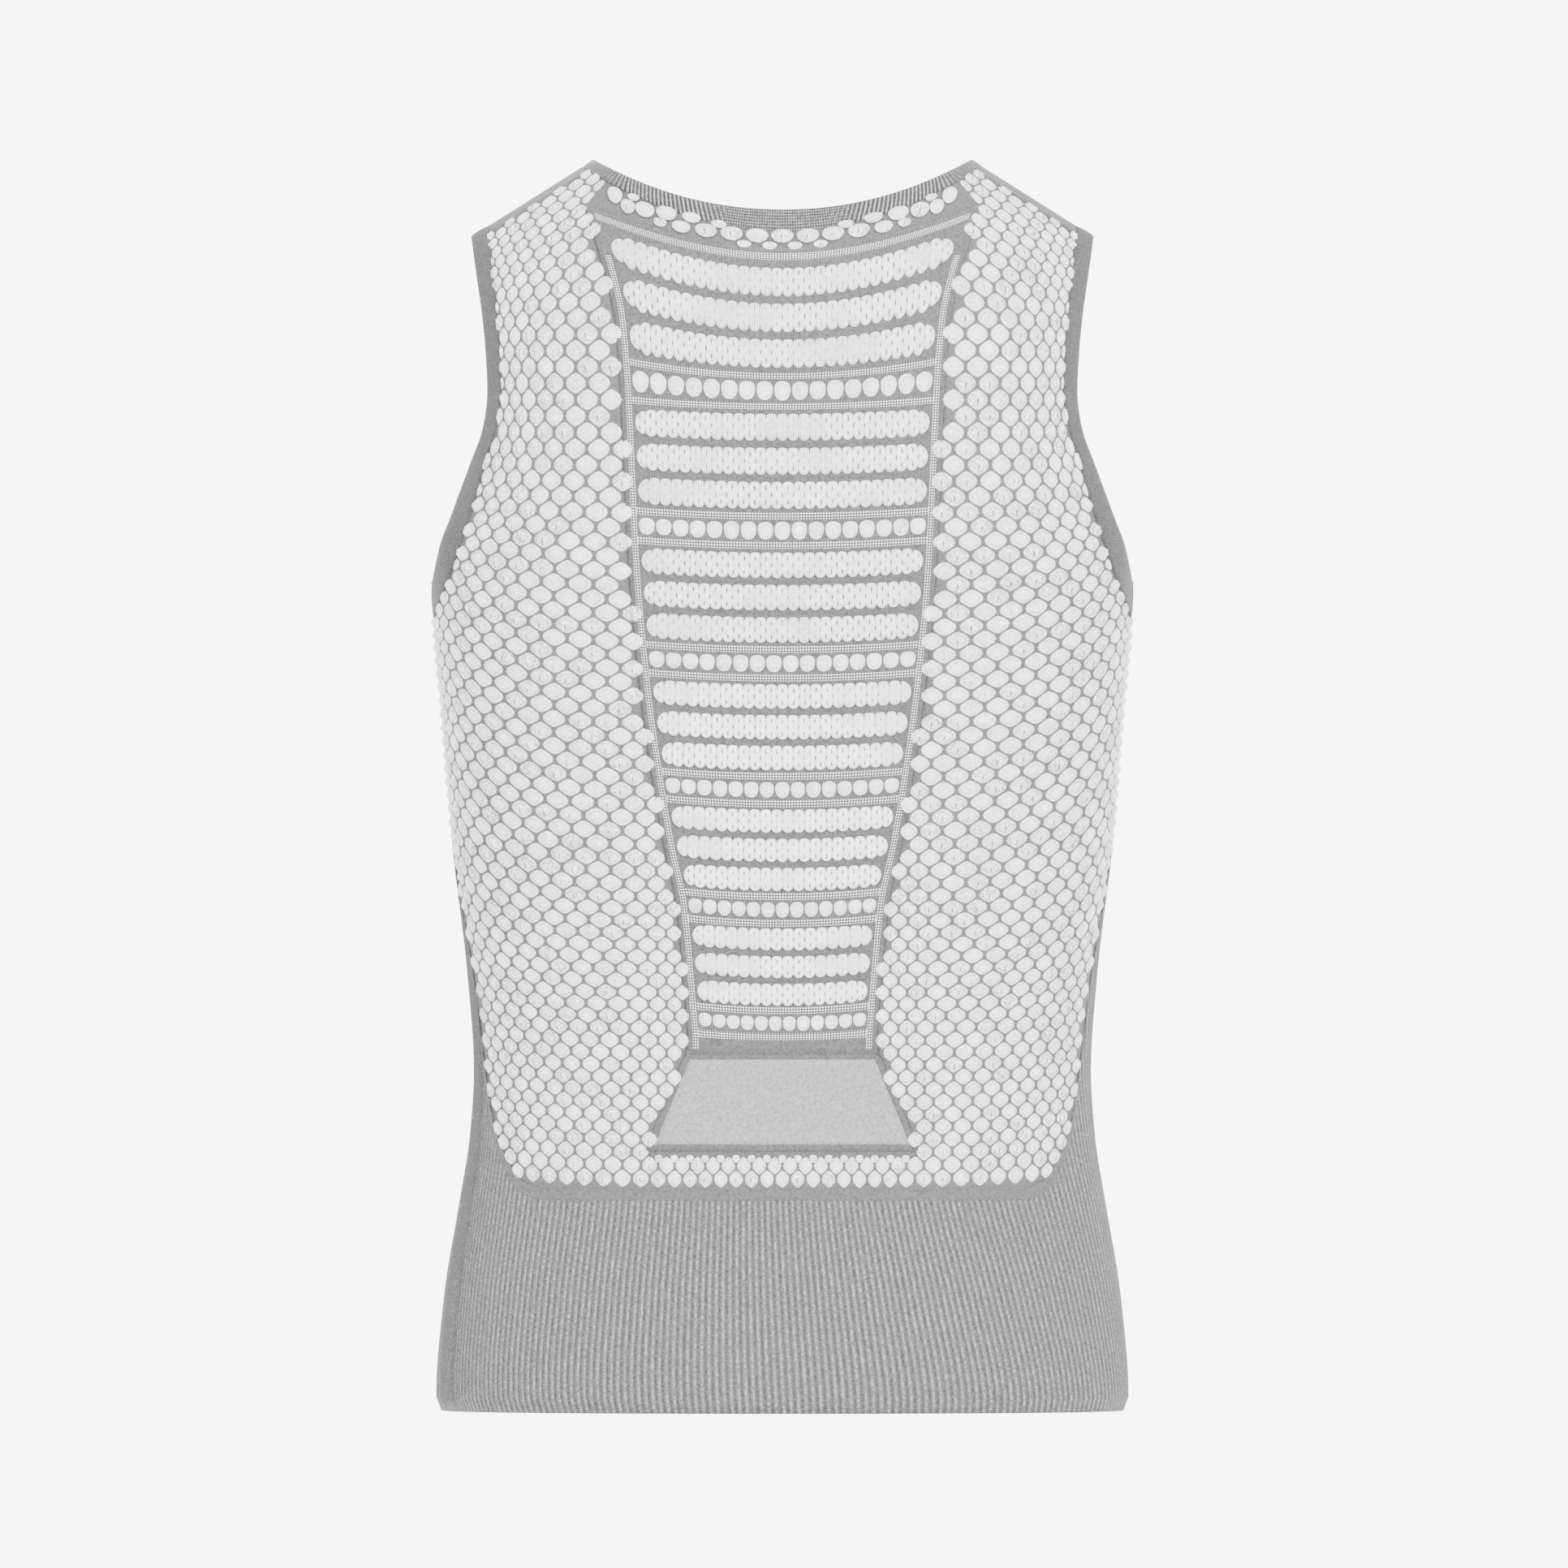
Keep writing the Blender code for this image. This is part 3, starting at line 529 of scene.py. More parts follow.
def finish(material, add, tone, stops, height, distance, strength):  # distance is the relief in millimetres
    shader = material.node_tree.nodes["Principled BSDF"]
    colour = add("ValToRGB", [tone], stops=stops) if stops else tone
    material.node_tree.links.new(colour, shader.inputs["Base Color"])
    bump = add("Bump", {"Height": height, "Distance": distance * mm, "Strength": strength})
    material.node_tree.links.new(bump, shader.inputs["Normal"])
    return material


def knitAxes(add, scaleX, scaleY):  # the two axes of the piece's knit UV, scaled
    spread = add("VectorMath.MULTIPLY", [add("UVMap", uv_map="knit"), (scaleX, scaleY, 0.0)])
    return add("SeparateXYZ", [spread]), add("SeparateXYZ", [spread], 1)


def fleck(add, scale, detail=2.0, roughness=0.6, distortion=0.0):  # unevenness of the yarn
    return add("TexNoise", {
        "Vector": add("TexCoord", out="Object"), "Scale": scale, "Detail": detail,
        "Roughness": roughness, "Distortion": distortion,
    })


def crossed(add, a, b):  # two sets of slanting waves, multiplied
    one = add("Math.SINE", [add("Math.ADD", [a, b])])
    two = add("Math.SINE", [add("Math.SUBTRACT", [a, b])])
    return add("Math.MULTIPLY", [one, two])


def jerseyMaterial(name, dark, light, pitch=(1.15, 1.0)):
    # polyamide yarn knitted plain: V stitches, matt and slightly fuzzy, uneven from stitch to stitch
    material, add = newMaterial(name, 0.85, 0.15)
    a, b = knitAxes(add, 1 / (pitch[0] * mm), 1 / (pitch[1] * mm))
    lean = add("Math.PINGPONG", [a, 0.5])
    rise = add("Math.MULTIPLY_ADD", [lean, 1.1, b])
    stitch = add("Math.SINE", [add("Math.MULTIPLY", [rise, 2 * math.pi])])
    column = add("Math.POWER", [add("Math.MULTIPLY", [lean, 2.0]), 0.6])
    height = add("Math.MULTIPLY", [column, add("Math.MULTIPLY_ADD", [stitch, 0.3, 0.7])])
    uneven = fleck(add, 620.0, 3.0, 0.7)
    tone = add("Math.MULTIPLY_ADD", [uneven, 1.5, add("Math.MULTIPLY_ADD", [height, 0.45, -0.45])])
    return finish(material, add, tone, [(0.1, dark), (0.95, light)], height, 0.3, 0.7)


def ribMaterial(name, groove, ground, crest):
    # rib knit: narrow pale ribs that stand over a darker ground; UV x counts the ribs
    material, add = newMaterial(name, 0.85, 0.15)
    a, b = knitAxes(add, 1.0, 1 / (1.1 * mm))
    phase = add("Math.PINGPONG", [a, 0.5])
    stitch = add("Math.SINE", [add("Math.MULTIPLY", [b, 2 * math.pi])])
    uneven = fleck(add, 720.0, 3.0, 0.75)
    loops = add("Math.MULTIPLY_ADD", [stitch, 0.06, add("Math.MULTIPLY_ADD", [uneven, 1.9, -0.95])])
    tone = add("Math.MULTIPLY_ADD", [phase, 1.7, loops])
    stops = [(0.0, groove), (0.3, ground), (0.62, ground), (0.98, crest)]
    return finish(material, add, tone, stops, loops, 0.3, 0.6)


def cellMaterial(name):
    # sheer hollow polypropylene yarn puffed into cells: near white, crinkled, a tick where it is drawn in;
    # painted shade darkens each cell to a dark ring at its foot, with a painted bright rim just inside it
    material, add = newMaterial(name, 0.65, 0.2)
    disc = add("UVMap", uv_map="knit")
    each = add("SeparateXYZ", [add("UVMap", uv_map="shade")])
    crinkle = fleck(add, 330.0, 3.0, 0.55, 1.8)
    radius = add("VectorMath.LENGTH", [disc], 1)
    edge = add("Math.MULTIPLY_ADD", [crinkle, 0.1, add("Math.SUBTRACT", [radius, 0.05])])
    # painted shade and highlight: a grey ring, then a painted bright rim, then darkening to 5C5C5C at the
    # cell's edge as a painted shadow where the puff meets the net
    whiteWithPaintedRimShade = add("ValToRGB", [edge], stops=[
        (0.0, "FCFCFC"), (0.45, "FAFAFA"), (0.69, "DADADA"),
        (0.76, "FCFCFC"), (0.89, "E0E0E0"), (0.99, "5C5C5C"),
    ])
    nearTick = add("VectorMath.MULTIPLY_ADD", [disc, (9.0, 2.3, 0.0), (-0.7, 0.5, 0.0)])
    tick = add("MapRange", [add("VectorMath.LENGTH", [nearTick], 1), 1.0, 0.5, 0.0, 0.85])
    tick = add("Math.MULTIPLY", [tick, add("MapRange", [each, 0.3, 0.7])])
    lines = add("MapRange", [add("Math.COMPARE", [crinkle, 0.5, 0.05]), 0.0, 1.0, 0.0, 0.6])
    lines = add("Math.MULTIPLY", [lines, add("MapRange", [each, 0.0, 1.0, 0.3, 1.0])])
    dull = add("Math.MULTIPLY_ADD", [fleck(add, 150.0, 2.0), 0.5, -0.16], use_clamp=True)
    dull = add("Math.ADD", [add("Math.MAXIMUM", [tick, lines]), dull])
    colour = add("Mix", {0: dull, 6: whiteWithPaintedRimShade, 7: linear("505050")}, 2, data_type="RGBA")
    return finish(material, add, colour, None, crinkle, 1.1, 0.8)


def windowMaterial(name):
    # the same sheer yarn gathered into columns: UV x counts them, y runs from -1 to 1 over the window;
    # dark ticks where columns are drawn together, staggered like a squeezed honeycomb, some fine pleats, and
    # painted shade in the notches between the columns' ends
    material, add = newMaterial(name, 0.65, 0.2)
    a, b = knitAxes(add, 1.0, 1.0)
    crinkle = fleck(add, 380.0, 4.0, 0.65, 0.8)
    patches = fleck(add, 26.0, 1.0)
    wobble = add("Math.MULTIPLY_ADD", [crinkle, 0.14, add("Math.SUBTRACT", [a, 0.07])])
    near = add("Math.PINGPONG", [wobble, 0.5])
    far = add("Math.SUBTRACT", [0.5, near])
    up = add("Math.ABSOLUTE", [b])
    # painted shade: darker where the columns meet, most towards the window's top and foot
    notch = add("MapRange", [near, 0.0, 0.16, 1.0, 0.0])
    notch = add("Math.MULTIPLY", [notch, add("MapRange", [up, 0.45, 1.0, 0.18, 0.85])])
    height = add("SeparateXYZ", [add("TexCoord", out="Object")], 2)
    ground = add("MapRange", [height, -0.26, -0.21, -0.45, -0.32])
    dull = add("Math.MULTIPLY_ADD", [crinkle, 0.9, ground], use_clamp=True)
    drawn = add("MapRange", [patches, 0.38, 0.56, 0.25, 0.9])
    for across, level in ((near, 0.0), (far, 0.52)):
        place = add("CombineXYZ", [add("Math.MULTIPLY", [across, 10.5]),
                                   add("Math.MULTIPLY", [add("Math.SUBTRACT", [up, level]), 3.7])])
        tick = add("MapRange", [add("VectorMath.LENGTH", [place], 1), 1.0, 0.3])
        dull = add("Math.MULTIPLY_ADD", [tick, drawn, dull])
    pleat = add("Math.SINE", [add("Math.MULTIPLY", [wobble, 9 * math.pi])])
    pleat = add("Math.MULTIPLY", [pleat, add("MapRange", [patches, 0.52, 0.40])])
    dull = add("Math.MULTIPLY_ADD", [pleat, 0.14, add("Math.MAXIMUM", [dull, notch])], use_clamp=True)
    height = add("Math.MULTIPLY_ADD", [pleat, 0.3, crinkle])
    stops = [(0.0, "F0F0F0"), (0.2, "CFCFCF"), (0.6, "7A7A7A"), (1.0, "505050")]
    return finish(material, add, dull, stops, height, 0.9, 0.8)


def trackMaterial(name):
    # slanting rows of pale dots on grey jersey, 1.05 mm apart in the yarn and drawn 1.4 mm apart to show
    material, add = newMaterial(name, 0.85, 0.15)
    a, b = knitAxes(add, math.pi / (1.4 * mm), math.pi / (1.4 * mm))
    dots = crossed(add, a, b)
    return finish(material, add, dots, [(0.0, "4E4E4E"), (0.12, "6A6A6A"), (0.45, "F2F2F2")], dots, 0.35, 0.8)


def slantMaterial(name):
    # band knit with fine slanting ribs, 1.1 mm apart; UV x counts 2.2 mm along the band
    material, add = newMaterial(name, 0.85, 0.15)
    a, b = knitAxes(add, 4 * math.pi, 2 * math.pi / (1.1 * mm))
    wave = add("Math.SINE", [add("Math.ADD", [a, b])])
    uneven = fleck(add, 640.0, 3.0, 0.7)
    tone = add("Math.MULTIPLY_ADD", [wave, 0.22, add("Math.MULTIPLY_ADD", [uneven, 1.5, -0.3])])
    return finish(material, add, tone, [(0.1, "303030"), (0.95, "5C5C5C")], wave, 0.25, 0.6)


def neckMaterial(name):
    # ribbed neck band: a fine crossed hatch at the centre, then slanting ribs, plain at the shoulders
    material, add = newMaterial(name, 0.85, 0.15)
    a, b = knitAxes(add, 2 * math.pi, 2 * math.pi / (2.5 * mm))
    across = add("SeparateXYZ", [add("TexCoord", out="Object")])
    side = add("Math.SIGN", [across])
    away = add("Math.ABSOLUTE", [across])
    ribbed = add("MapRange", [away, 22 * mm, 40 * mm])
    plain = add("MapRange", [away, 76 * mm, 88 * mm])
    lean = add("Math.MULTIPLY", [side, add("Math.MULTIPLY_ADD", [plain, -0.6, 0.55])])
    rib = add("Math.SINE", [add("Math.MULTIPLY_ADD", [b, lean, a])])
    hatch = crossed(add, a, b)
    wave = add("Mix", {0: ribbed, 2: hatch, 3: rib})
    wave = add("Math.MULTIPLY", [wave, add("MapRange", [plain, 0.0, 1.0, 1.0, 0.2])])
    uneven = fleck(add, 700.0, 3.0, 0.7)
    tone = add("Math.MULTIPLY_ADD", [wave, 0.42, add("Math.MULTIPLY_ADD", [uneven, 1.0, -0.1])])
    return finish(material, add, tone, [(0.05, "2C2C2C"), (0.5, "545454"), (0.95, "A4A4A4")], wave, 0.2, 0.6)


def netMaterial(name):
    # the flat grey net that joins the cells
    material, add = newMaterial(name, 0.9, 0.1)
    uneven = fleck(add, 900.0)
    return finish(material, add, uneven, [(0.3, "484848"), (0.7, "646464")], uneven, 0.2, 0.5)


net = netMaterial("grey net knit")
puffed = cellMaterial("puffed sheer knit")
jersey = jerseyMaterial("grey jersey knit", "3A3A3A", "6C6C6C")
paleJersey = jerseyMaterial("pale jersey knit", "646464", "A4A4A4")
ribKnit = ribMaterial("grey rib knit", "3A3A3A", "595959", "969696")
windowKnit = windowMaterial("gathered sheer knit")
trackKnit = trackMaterial("dotted track knit")
armKnit = slantMaterial("grey slanted rib knit")
bandKnit = neckMaterial("grey neck band knit")

print("stage: base sheets")
netting = dict(grain=3, tuck=-0.6, lift=-0.45, wall=1.0, rings=16, crowding=1.3)
loopIn = wholeLoop(holeEdge(netting["grain"], netting["tuck"]))
loopOut = wholeLoop(panelEdge(False, netting["grain"], netting["tuck"]))
ringShare = 1 - (1 - np.arange(netting["rings"] + 1) / netting["rings"]) ** netting["crowding"]
ringLine = mix(loopIn[None], loopOut[None], ringShare[:, None, None])
backPoints = onSkin(ringLine[..., 0], ringLine[..., 1], netting["lift"])
backNet = gridPiece("backNet", backPoints, True, net, netting["wall"])

half = panelEdge(True, netting["grain"], netting["tuck"])
topCount = (edgeParts["neck"] + edgeParts["strip"]) * netting["grain"] + 1
sideCount = (edgeParts["arm"] + edgeParts["side"]) * netting["grain"]
topHalf, lowHalf = half[:topCount], half[topCount + sideCount - 1:]
sideHalf = half[topCount - 1:topCount + sideCount]
mirror = np.array([-1, 1])
topLine = roundFront(np.concatenate([topHalf[::-1], topHalf[1:] * mirror]))
lowLine = roundFront(np.concatenate([lowHalf, lowHalf[-2::-1] * mirror]))
frontLine = blended(roundFront(sideHalf), roundFront(sideHalf * mirror), topLine, lowLine)
frontPoints = onSkin(frontLine[..., 0], frontLine[..., 1], netting["lift"])
frontNet = gridPiece("frontNet", frontPoints, False, net, netting["wall"])

ladderPlan = dict(groups=6, shrink=0.95, margin=5.8, raised=2.2, bow=3.0, settles=16, lobe=5.4, rim=0.8)
ladderRows = [  # the rows of a group: kind, share of the group's height, share of the row that is border
    ("window", 0.245, 0.2), ("window", 0.245, 0.2), ("window", 0.245, 0.2), ("beads", 0.265, 0.5),
]


def ladderLevels():  # kind, top and foot of each row
    z = ladder["topCentre"] - ladder["cap"]
    weights = ladderPlan["shrink"] ** np.arange(ladderPlan["groups"])
    parts = []
    for height in (z - ladderEdge[0][0]) * weights / weights.sum():
        for kind, heightShare, borderShare in ladderRows:
            pitch = height * heightShare
            border = pitch * borderShare / 2
            parts.append((kind, z - border, z - pitch + border))
            z -= pitch
    return parts


levels = ladderLevels()
rim = ladderPlan["rim"]
bowZ = np.array([z for kind, high, low in levels for z in (high, high - rim, low + rim, low)])
bowShare = np.minimum(1.0, np.arange(len(bowZ)) / ladderPlan["settles"])
bowRise = mix(ladder["topCorner"] - ladder["topCentre"], ladderPlan["bow"], bowShare)
ladderFoot = ladderEdge[0][0] - ladder["foot"]
bowZ = np.concatenate([[ladder["topCentre"]], bowZ, [ladderFoot]])
bowRise = np.concatenate([[bowRise[0]], bowRise, [0.0]])


def ladderPlace(share, level):  # angle and height at a share of the half width, level as on the centre line
    z = level + np.interp(-level, -bowZ, bowRise) * share**2
    return angleAt(share * holeWidth(z), z), z


def ladderPoints(share, level, lift):
    angle, z = ladderPlace(share, level)
    return onSkin(angle, z, lift)


def patchPiece(name, above, below, wider, lift, material, wall):  # how far it runs past the patch each way
    down = np.linspace(ladder["patchTop"][0] + above, ladder["patchBottom"][0] - below, 17)
    share, z = np.meshgrid(np.linspace(-1.0, 1.0, 41), down)
    grid = onSkin(angleAt(share * (holeWidth(z) + wider), z), z, lift)
    return gridPiece(name, grid, False, material, wall)


tuckIn = 0.3
ladderZ = np.linspace(ladder["topCentre"] + tuckIn, ladderFoot - tuckIn, 120)
share, level = np.meshgrid(np.linspace(-1.008, 1.008, 61), ladderZ)
ladderKnit = gridPiece("ladderKnit", ladderPoints(share, level, 0.15), False, jersey, 1.4)
patchKnit = patchPiece("patchKnit", 0.2, 0.4, 0.4, 0.12, jersey, 1.4)
patchFace = patchPiece("patchFace", -2.8, -2.8, -3.08, 0.3, paleJersey, 0.3)

print("stage: ladder windows and beads")


def joinedGrids(name, grids, uvs, material):  # several grids as one mesh
    corners, places, count = [], [], 0
    for grid, uv in zip(grids, uvs):
        faces = gridFaces(*grid.shape[:2], False)
        corners.append(faces + count)
        places.append(uv.reshape(-1, 2)[faces].reshape(-1, 2))
        count += grid.shape[0] * grid.shape[1]
    vertices = np.concatenate([grid.reshape(-1, 3) for grid in grids])
    return makeObject(name, vertices, np.concatenate(corners), np.concatenate(places), material)


pad = dict(down=13, perLobe=8, ends=1.15, topNotch=1.15, footNotch=1.5, seam=0.05, gather=0.5, lift=0.05)


def windowPads(parts):
    grids, uvs = [], []
    for kind, high, low in parts:
        if kind != "window":
            continue
        middle, reach = (high + low) / 2, (high - low) / 2
        width = float(holeWidth(middle)) - ladderPlan["margin"]
        lobes = int(round(2 * width / ladderPlan["lobe"]))
        phase = np.linspace(0, lobes, lobes * pad["perLobe"] + 1)
        q = np.sin(np.linspace(-1, 1, pad["down"]) * math.pi / 2)
        phase, q = np.meshgrid(phase, q)
        x = (phase / lobes * 2 - 1) * width
        ends = np.clip((width - np.abs(x)) / (reach * pad["ends"]), 0.0, 1.0)
        tall = np.sqrt(np.maximum(1 - (1 - ends) ** 2, 0.0))
        fold = np.abs(np.sin(math.pi * phase))
        notch = np.where(q < 0, pad["topNotch"] * (1 - fold**0.5), pad["footNotch"] * (1 - fold) ** 1.2)
        level = middle - q * reach * tall + np.sign(q) * notch * np.abs(q) ** 4 * np.minimum(tall, ends * 2)
        pillow = (1 - np.abs(q) ** 5) ** 0.5 * tall
        depth = pad["seam"] + pad["gather"] * q**4
        lift = pad["lift"] + ladderPlan["raised"] * pillow * (1 - depth * (1 - fold**0.6))
        grids.append(ladderPoints(x / holeWidth(level), level, lift))
        uvs.append(np.stack([phase, q], -1))
    return joinedGrids("ladderWindows", grids, uvs, windowKnit)


def domeTemplate(segments, insets):  # a disc of unit radius in rings, to be raised into a dome
    shape = bmesh.new()
    bmesh.ops.create_circle(shape, cap_ends=True, segments=segments, radius=1.0)
    for inset in insets:
        middle = [f for f in shape.faces if len(f.verts) == segments]
        bmesh.ops.inset_region(shape, faces=middle, thickness=inset)
    bmesh.ops.poke(shape, faces=[f for f in shape.faces if len(f.verts) == segments])
    bmesh.ops.triangulate(shape, faces=shape.faces)
    shape.verts.index_update()
    disc = np.array([v.co.xy for v in shape.verts])
    faces = np.array([[v.index for v in f.verts] for f in shape.faces])
    shape.free()
    return disc, faces


def squared(disc, rho, power):  # how far a disc's points go out to make a rounded square
    square = (np.abs(disc) ** power).sum(-1) ** (1 / power)
    return np.where(square > 0, rho / np.maximum(square, 1e-6), 1.0)


def domes(name, disc, faces, points, shadeTop):  # the disc's faces on each row of points, each with its shade
    copies = len(points)
    allFaces = (faces[None] + np.arange(copies)[:, None, None] * len(disc)).reshape(-1, 3)
    uv = np.tile(disc[faces.ravel()], (copies, 1))
    shade = np.repeat(rng.uniform(0, shadeTop, copies), faces.size)
    return makeObject(name, points.reshape(-1, 3), allFaces, uv, puffed, shade)


insets = (0.05, 0.14, 0.3)
beadPitch = [(60.0, 9.0), (180.0, 8.4), (330.0, 7.6), (420.0, 6.6)]  # depth below the origin, pitch
bead = dict(segments=18, power=2.5, taller=0.25, wider=0.6, fill=0.97, sideLoss=0.1, pointed=0.12)


def makeBeads(parts):
    disc, faces = domeTemplate(bead["segments"], insets)
    rho = np.minimum(np.hypot(disc[:, 0], disc[:, 1]), 1.0)
    grow = squared(disc, rho, bead["power"])
    lift = ladderPlan["raised"] * (1 - rho**3.2) ** 0.6
    points = []
    for kind, high, low in parts:
        if kind != "beads":
            continue
        middle, reach = (high + low) / 2, (high - low) / 2 + bead["taller"]
        width = float(holeWidth(middle)) - ladderPlan["margin"] + bead["wider"]
        count = int(round(2 * width / np.interp(-middle, *zip(*beadPitch))))
        pitch = 2 * width / count
        for k in range(count):
            x = (k + 0.5) * pitch - width
            tall = reach * (1.0 - bead["sideLoss"] * abs(x) / width) * rng.uniform(0.96, 1.03)
            px = x + disc[:, 0] * grow * pitch / 2 * bead["fill"] * (1 + bead["pointed"] * disc[:, 1])
            level = middle + disc[:, 1] * grow * tall
            points.append(ladderPoints(px / holeWidth(level), level, lift))
    return domes("ladderBeads", disc, faces, np.array(points), 0.6)


trackPlan = dict(
    fromBeads=2.7, fromTop=4.2, half=1.6, length=0.965, side=(2.0, 4.6), above=3.0, below=2.0,
    lift=0.3, sideLift=0.32,
)


def makeTracks(parts):  # dotted herringbone lines beside the bead rows and along the ladder's border
    step = trackPlan["fromBeads"]
    centres = [z for kind, high, low in parts if kind == "beads" for z in (high + step, low - step)]
    along, half = np.linspace(-1, 1, 91) * trackPlan["length"], trackPlan["half"]
    grids = []
    for centre in centres + [ladder["topCentre"] - trackPlan["fromTop"]]:
        share, offset = np.meshgrid(along, np.linspace(-half, half, 4))
        grids.append(ladderPoints(share, centre + offset, trackPlan["lift"]))
    down = np.linspace(ladder["topCentre"] - trackPlan["above"], ladderFoot + trackPlan["below"], 220)
    for side in (-1, 1):
        z, offset = np.meshgrid(down, np.linspace(*trackPlan["side"], 4))
        grids.append(onSkin(angleAt(side * (holeWidth(z) - offset), z), z, trackPlan["sideLift"]))
    return joinedGrids("ladderTracks", grids, [gridUv(grid, False) for grid in grids], trackKnit)


windows = windowPads(levels)
beads = makeBeads(levels)
tracks = makeTracks(levels)

print("stage: honeycomb cells")
cell = dict(
    sideNet=0.5, slantNet=0.24, tall=0.69, corner=11, height=2.0, fullSize=4.7, lift=-0.45, overLift=0.25,
    clearSize=2.3, wholeSize=3.97, lowZ=-300.0, nearHole=9.0, smallShare=0.46, seam=0.6,
)
hexAngle = math.atan2(knit["course"], knit["wale"] / 2)
wallDirections = np.array([0.0, math.pi, math.pi / 2, -math.pi / 2,
                           hexAngle, -hexAngle, math.pi - hexAngle, math.pi + hexAngle])
diagonal = math.hypot(knit["course"], knit["wale"] / 2) / 2 - cell["slantNet"]
wallGaps = [knit["wale"] / 2 - cell["sideNet"]] * 2 + [knit["course"] * cell["tall"]] * 2 + [diagonal] * 4


def hexRadius(theta):  # rounded hexagon: the cell's walls less half the net between
    facing = np.maximum(np.cos(theta[..., None] - wallDirections), 0) / wallGaps
    return (facing ** cell["corner"]).sum(-1) ** (-1 / cell["corner"])


def insideHex(offset):
    theta = np.arctan2(offset[..., 1], offset[..., 0])
    return np.hypot(offset[..., 0], offset[..., 1]) < hexRadius(theta)


def latticeCells(knitMap, panel, grown, segments):  # centres and outline radii, cut to the panel
    theta = np.arange(segments) / segments * 2 * math.pi
    compass = np.stack([np.cos(theta), np.sin(theta)], -1)
    scale = np.array([knit["wale"], knit["course"]])
    low, high = panel[0].min(0) / scale, panel[0].max(0) / scale
    j, k = np.meshgrid(np.arange(int(low[1]) - 2, int(high[1]) + 3), np.arange(-26, 27), indexing="ij")
    centres = np.stack([k + 0.5 * (j % 2), j], -1).reshape(-1, 2) * scale
    angle, z = knitMap.locate(*(centres / scale).T)
    centres = centres[(np.abs(angle) > 90.0) == knitMap.front]  # a cell on the side seam is drawn once
    full = hexRadius(theta)
    shares = np.sqrt((np.arange(6) + 0.5) / 6)
    grid = np.concatenate([compass * full[:, None] * s for s in shares])
    seen = inPanel(centres[:, None] + grid, panel).mean(1)
    main = seen > 0.5
    rim = inPanel(centres[:, None] + compass * full[:, None], grown)
    whole = rim.all(1) & main
    part = (seen > 0.2) & ~whole
    kept, radii = [centres[whole]], [np.tile(full, (whole.sum(), 1))]
    steps = np.linspace(0.4, 8.0, 26)  # how far out a cut cell's outline is looked for
    for chosen, region in ((part & main, grown), (part & ~main, panel)):
        cut = centres[chosen]
        held = inPanel(cut[:, None] + grid, region)
        moved = cut + (held[..., None] * grid).sum(1) / held.sum(1)[:, None]
        rays = moved[:, None, None] + compass[None, :, None] * steps[None, None, :, None]
        clear = inPanel(rays, region) & insideHex(rays - cut[:, None, None])
        reach = np.argmin(np.concatenate([clear, np.zeros(clear.shape[:2] + (1,), bool)], -1), -1)
        radius = np.where(reach > 0, steps[np.maximum(reach - 1, 0)], 0.3)
        smooth = 0.25 * np.roll(radius, 1, 1) + 0.5 * radius + 0.25 * np.roll(radius, -1, 1)
        radius = np.minimum(radius, smooth)
        small = besideHole(cut, panel) & (seen[chosen] < 0.5)
        radius[small] = full * cell["smallShare"] * (seen[chosen][small, None] > 0.3)
        kept.append(moved)
        radii.append(radius)
    centres, radii = np.concatenate(kept), np.concatenate(radii)
    size = np.sqrt((radii**2).mean(1))
    aboveRib = knitMap.locate(*(centres / scale).T)[1] >= cell["lowZ"]
    fit = (size > cell["clearSize"]) & ((size > cell["wholeSize"]) | aboveRib | besideHole(centres, panel))
    return centres[fit], radii[fit], theta


def besideHole(centres, panel):
    if panel[1] is None:
        return np.zeros(len(centres), bool)
    return inside(centres, pushed(panel[1], cell["nearHole"]))


def inPanel(points, region):
    flat = points.reshape(-1, 2)
    found = inside(flat, region[0])
    if region[1] is not None:
        found &= ~inside(flat, region[1])
    return found.reshape(points.shape[:-1])


def cellHole(grain, reach):  # the ladder's edge, with the neck chain's place above it
    x = rings(8 * grain) * reach
    z = neckHeight("band", x, False) + 3.0
    low = holeEdge(grain, 0.0)[edgeParts["neck"] * grain:]
    low[:, 1] -= patchBeads["room"] * (low[:, 1] < ladder["patchBottom"][0] + 0.5)
    return np.concatenate([np.stack([angleAt(x, z), z], -1), low])


neckChain = [  # cells between the neck band and the ladder, each side of the centre
    # x, z, width, height
    (0, -18.9, 11.6, 7), (12.5, -18.7, 11.6, 7), (25, -17.6, 11.4, 7), (37.7, -16.1, 11.2, 6.8),
    (49.9, -14.2, 9.6, 6), (60.3, -12, 6.8, 4.4), (6.25, -23.7, 7.6, 4), (18.8, -22.8, 7.4, 3.8),
    (31.3, -12.9, 8, 4), (44.8, -9.6, 9.6, 5.4), (57.2, -7.4, 10.6, 7), (67.8, -5.6, 9.8, 7.6),
    (76.2, -4, 7.4, 7.4), (73.4, 0.6, 6.2, 3.6), (82.6, 1.8, 7.6, 8.2),
]
patchBeads = dict(count=17, pitch=7.6, z=-473.7, size=4.0, room=4.6)
chain = dict(power=2.4, pointed=0.22, slope=0.15, height=1.9, fullSize=6.5)


def crown(rho):  # the height of a puffed cell from its middle to its edge
    return (1 - rho**3) ** 0.62


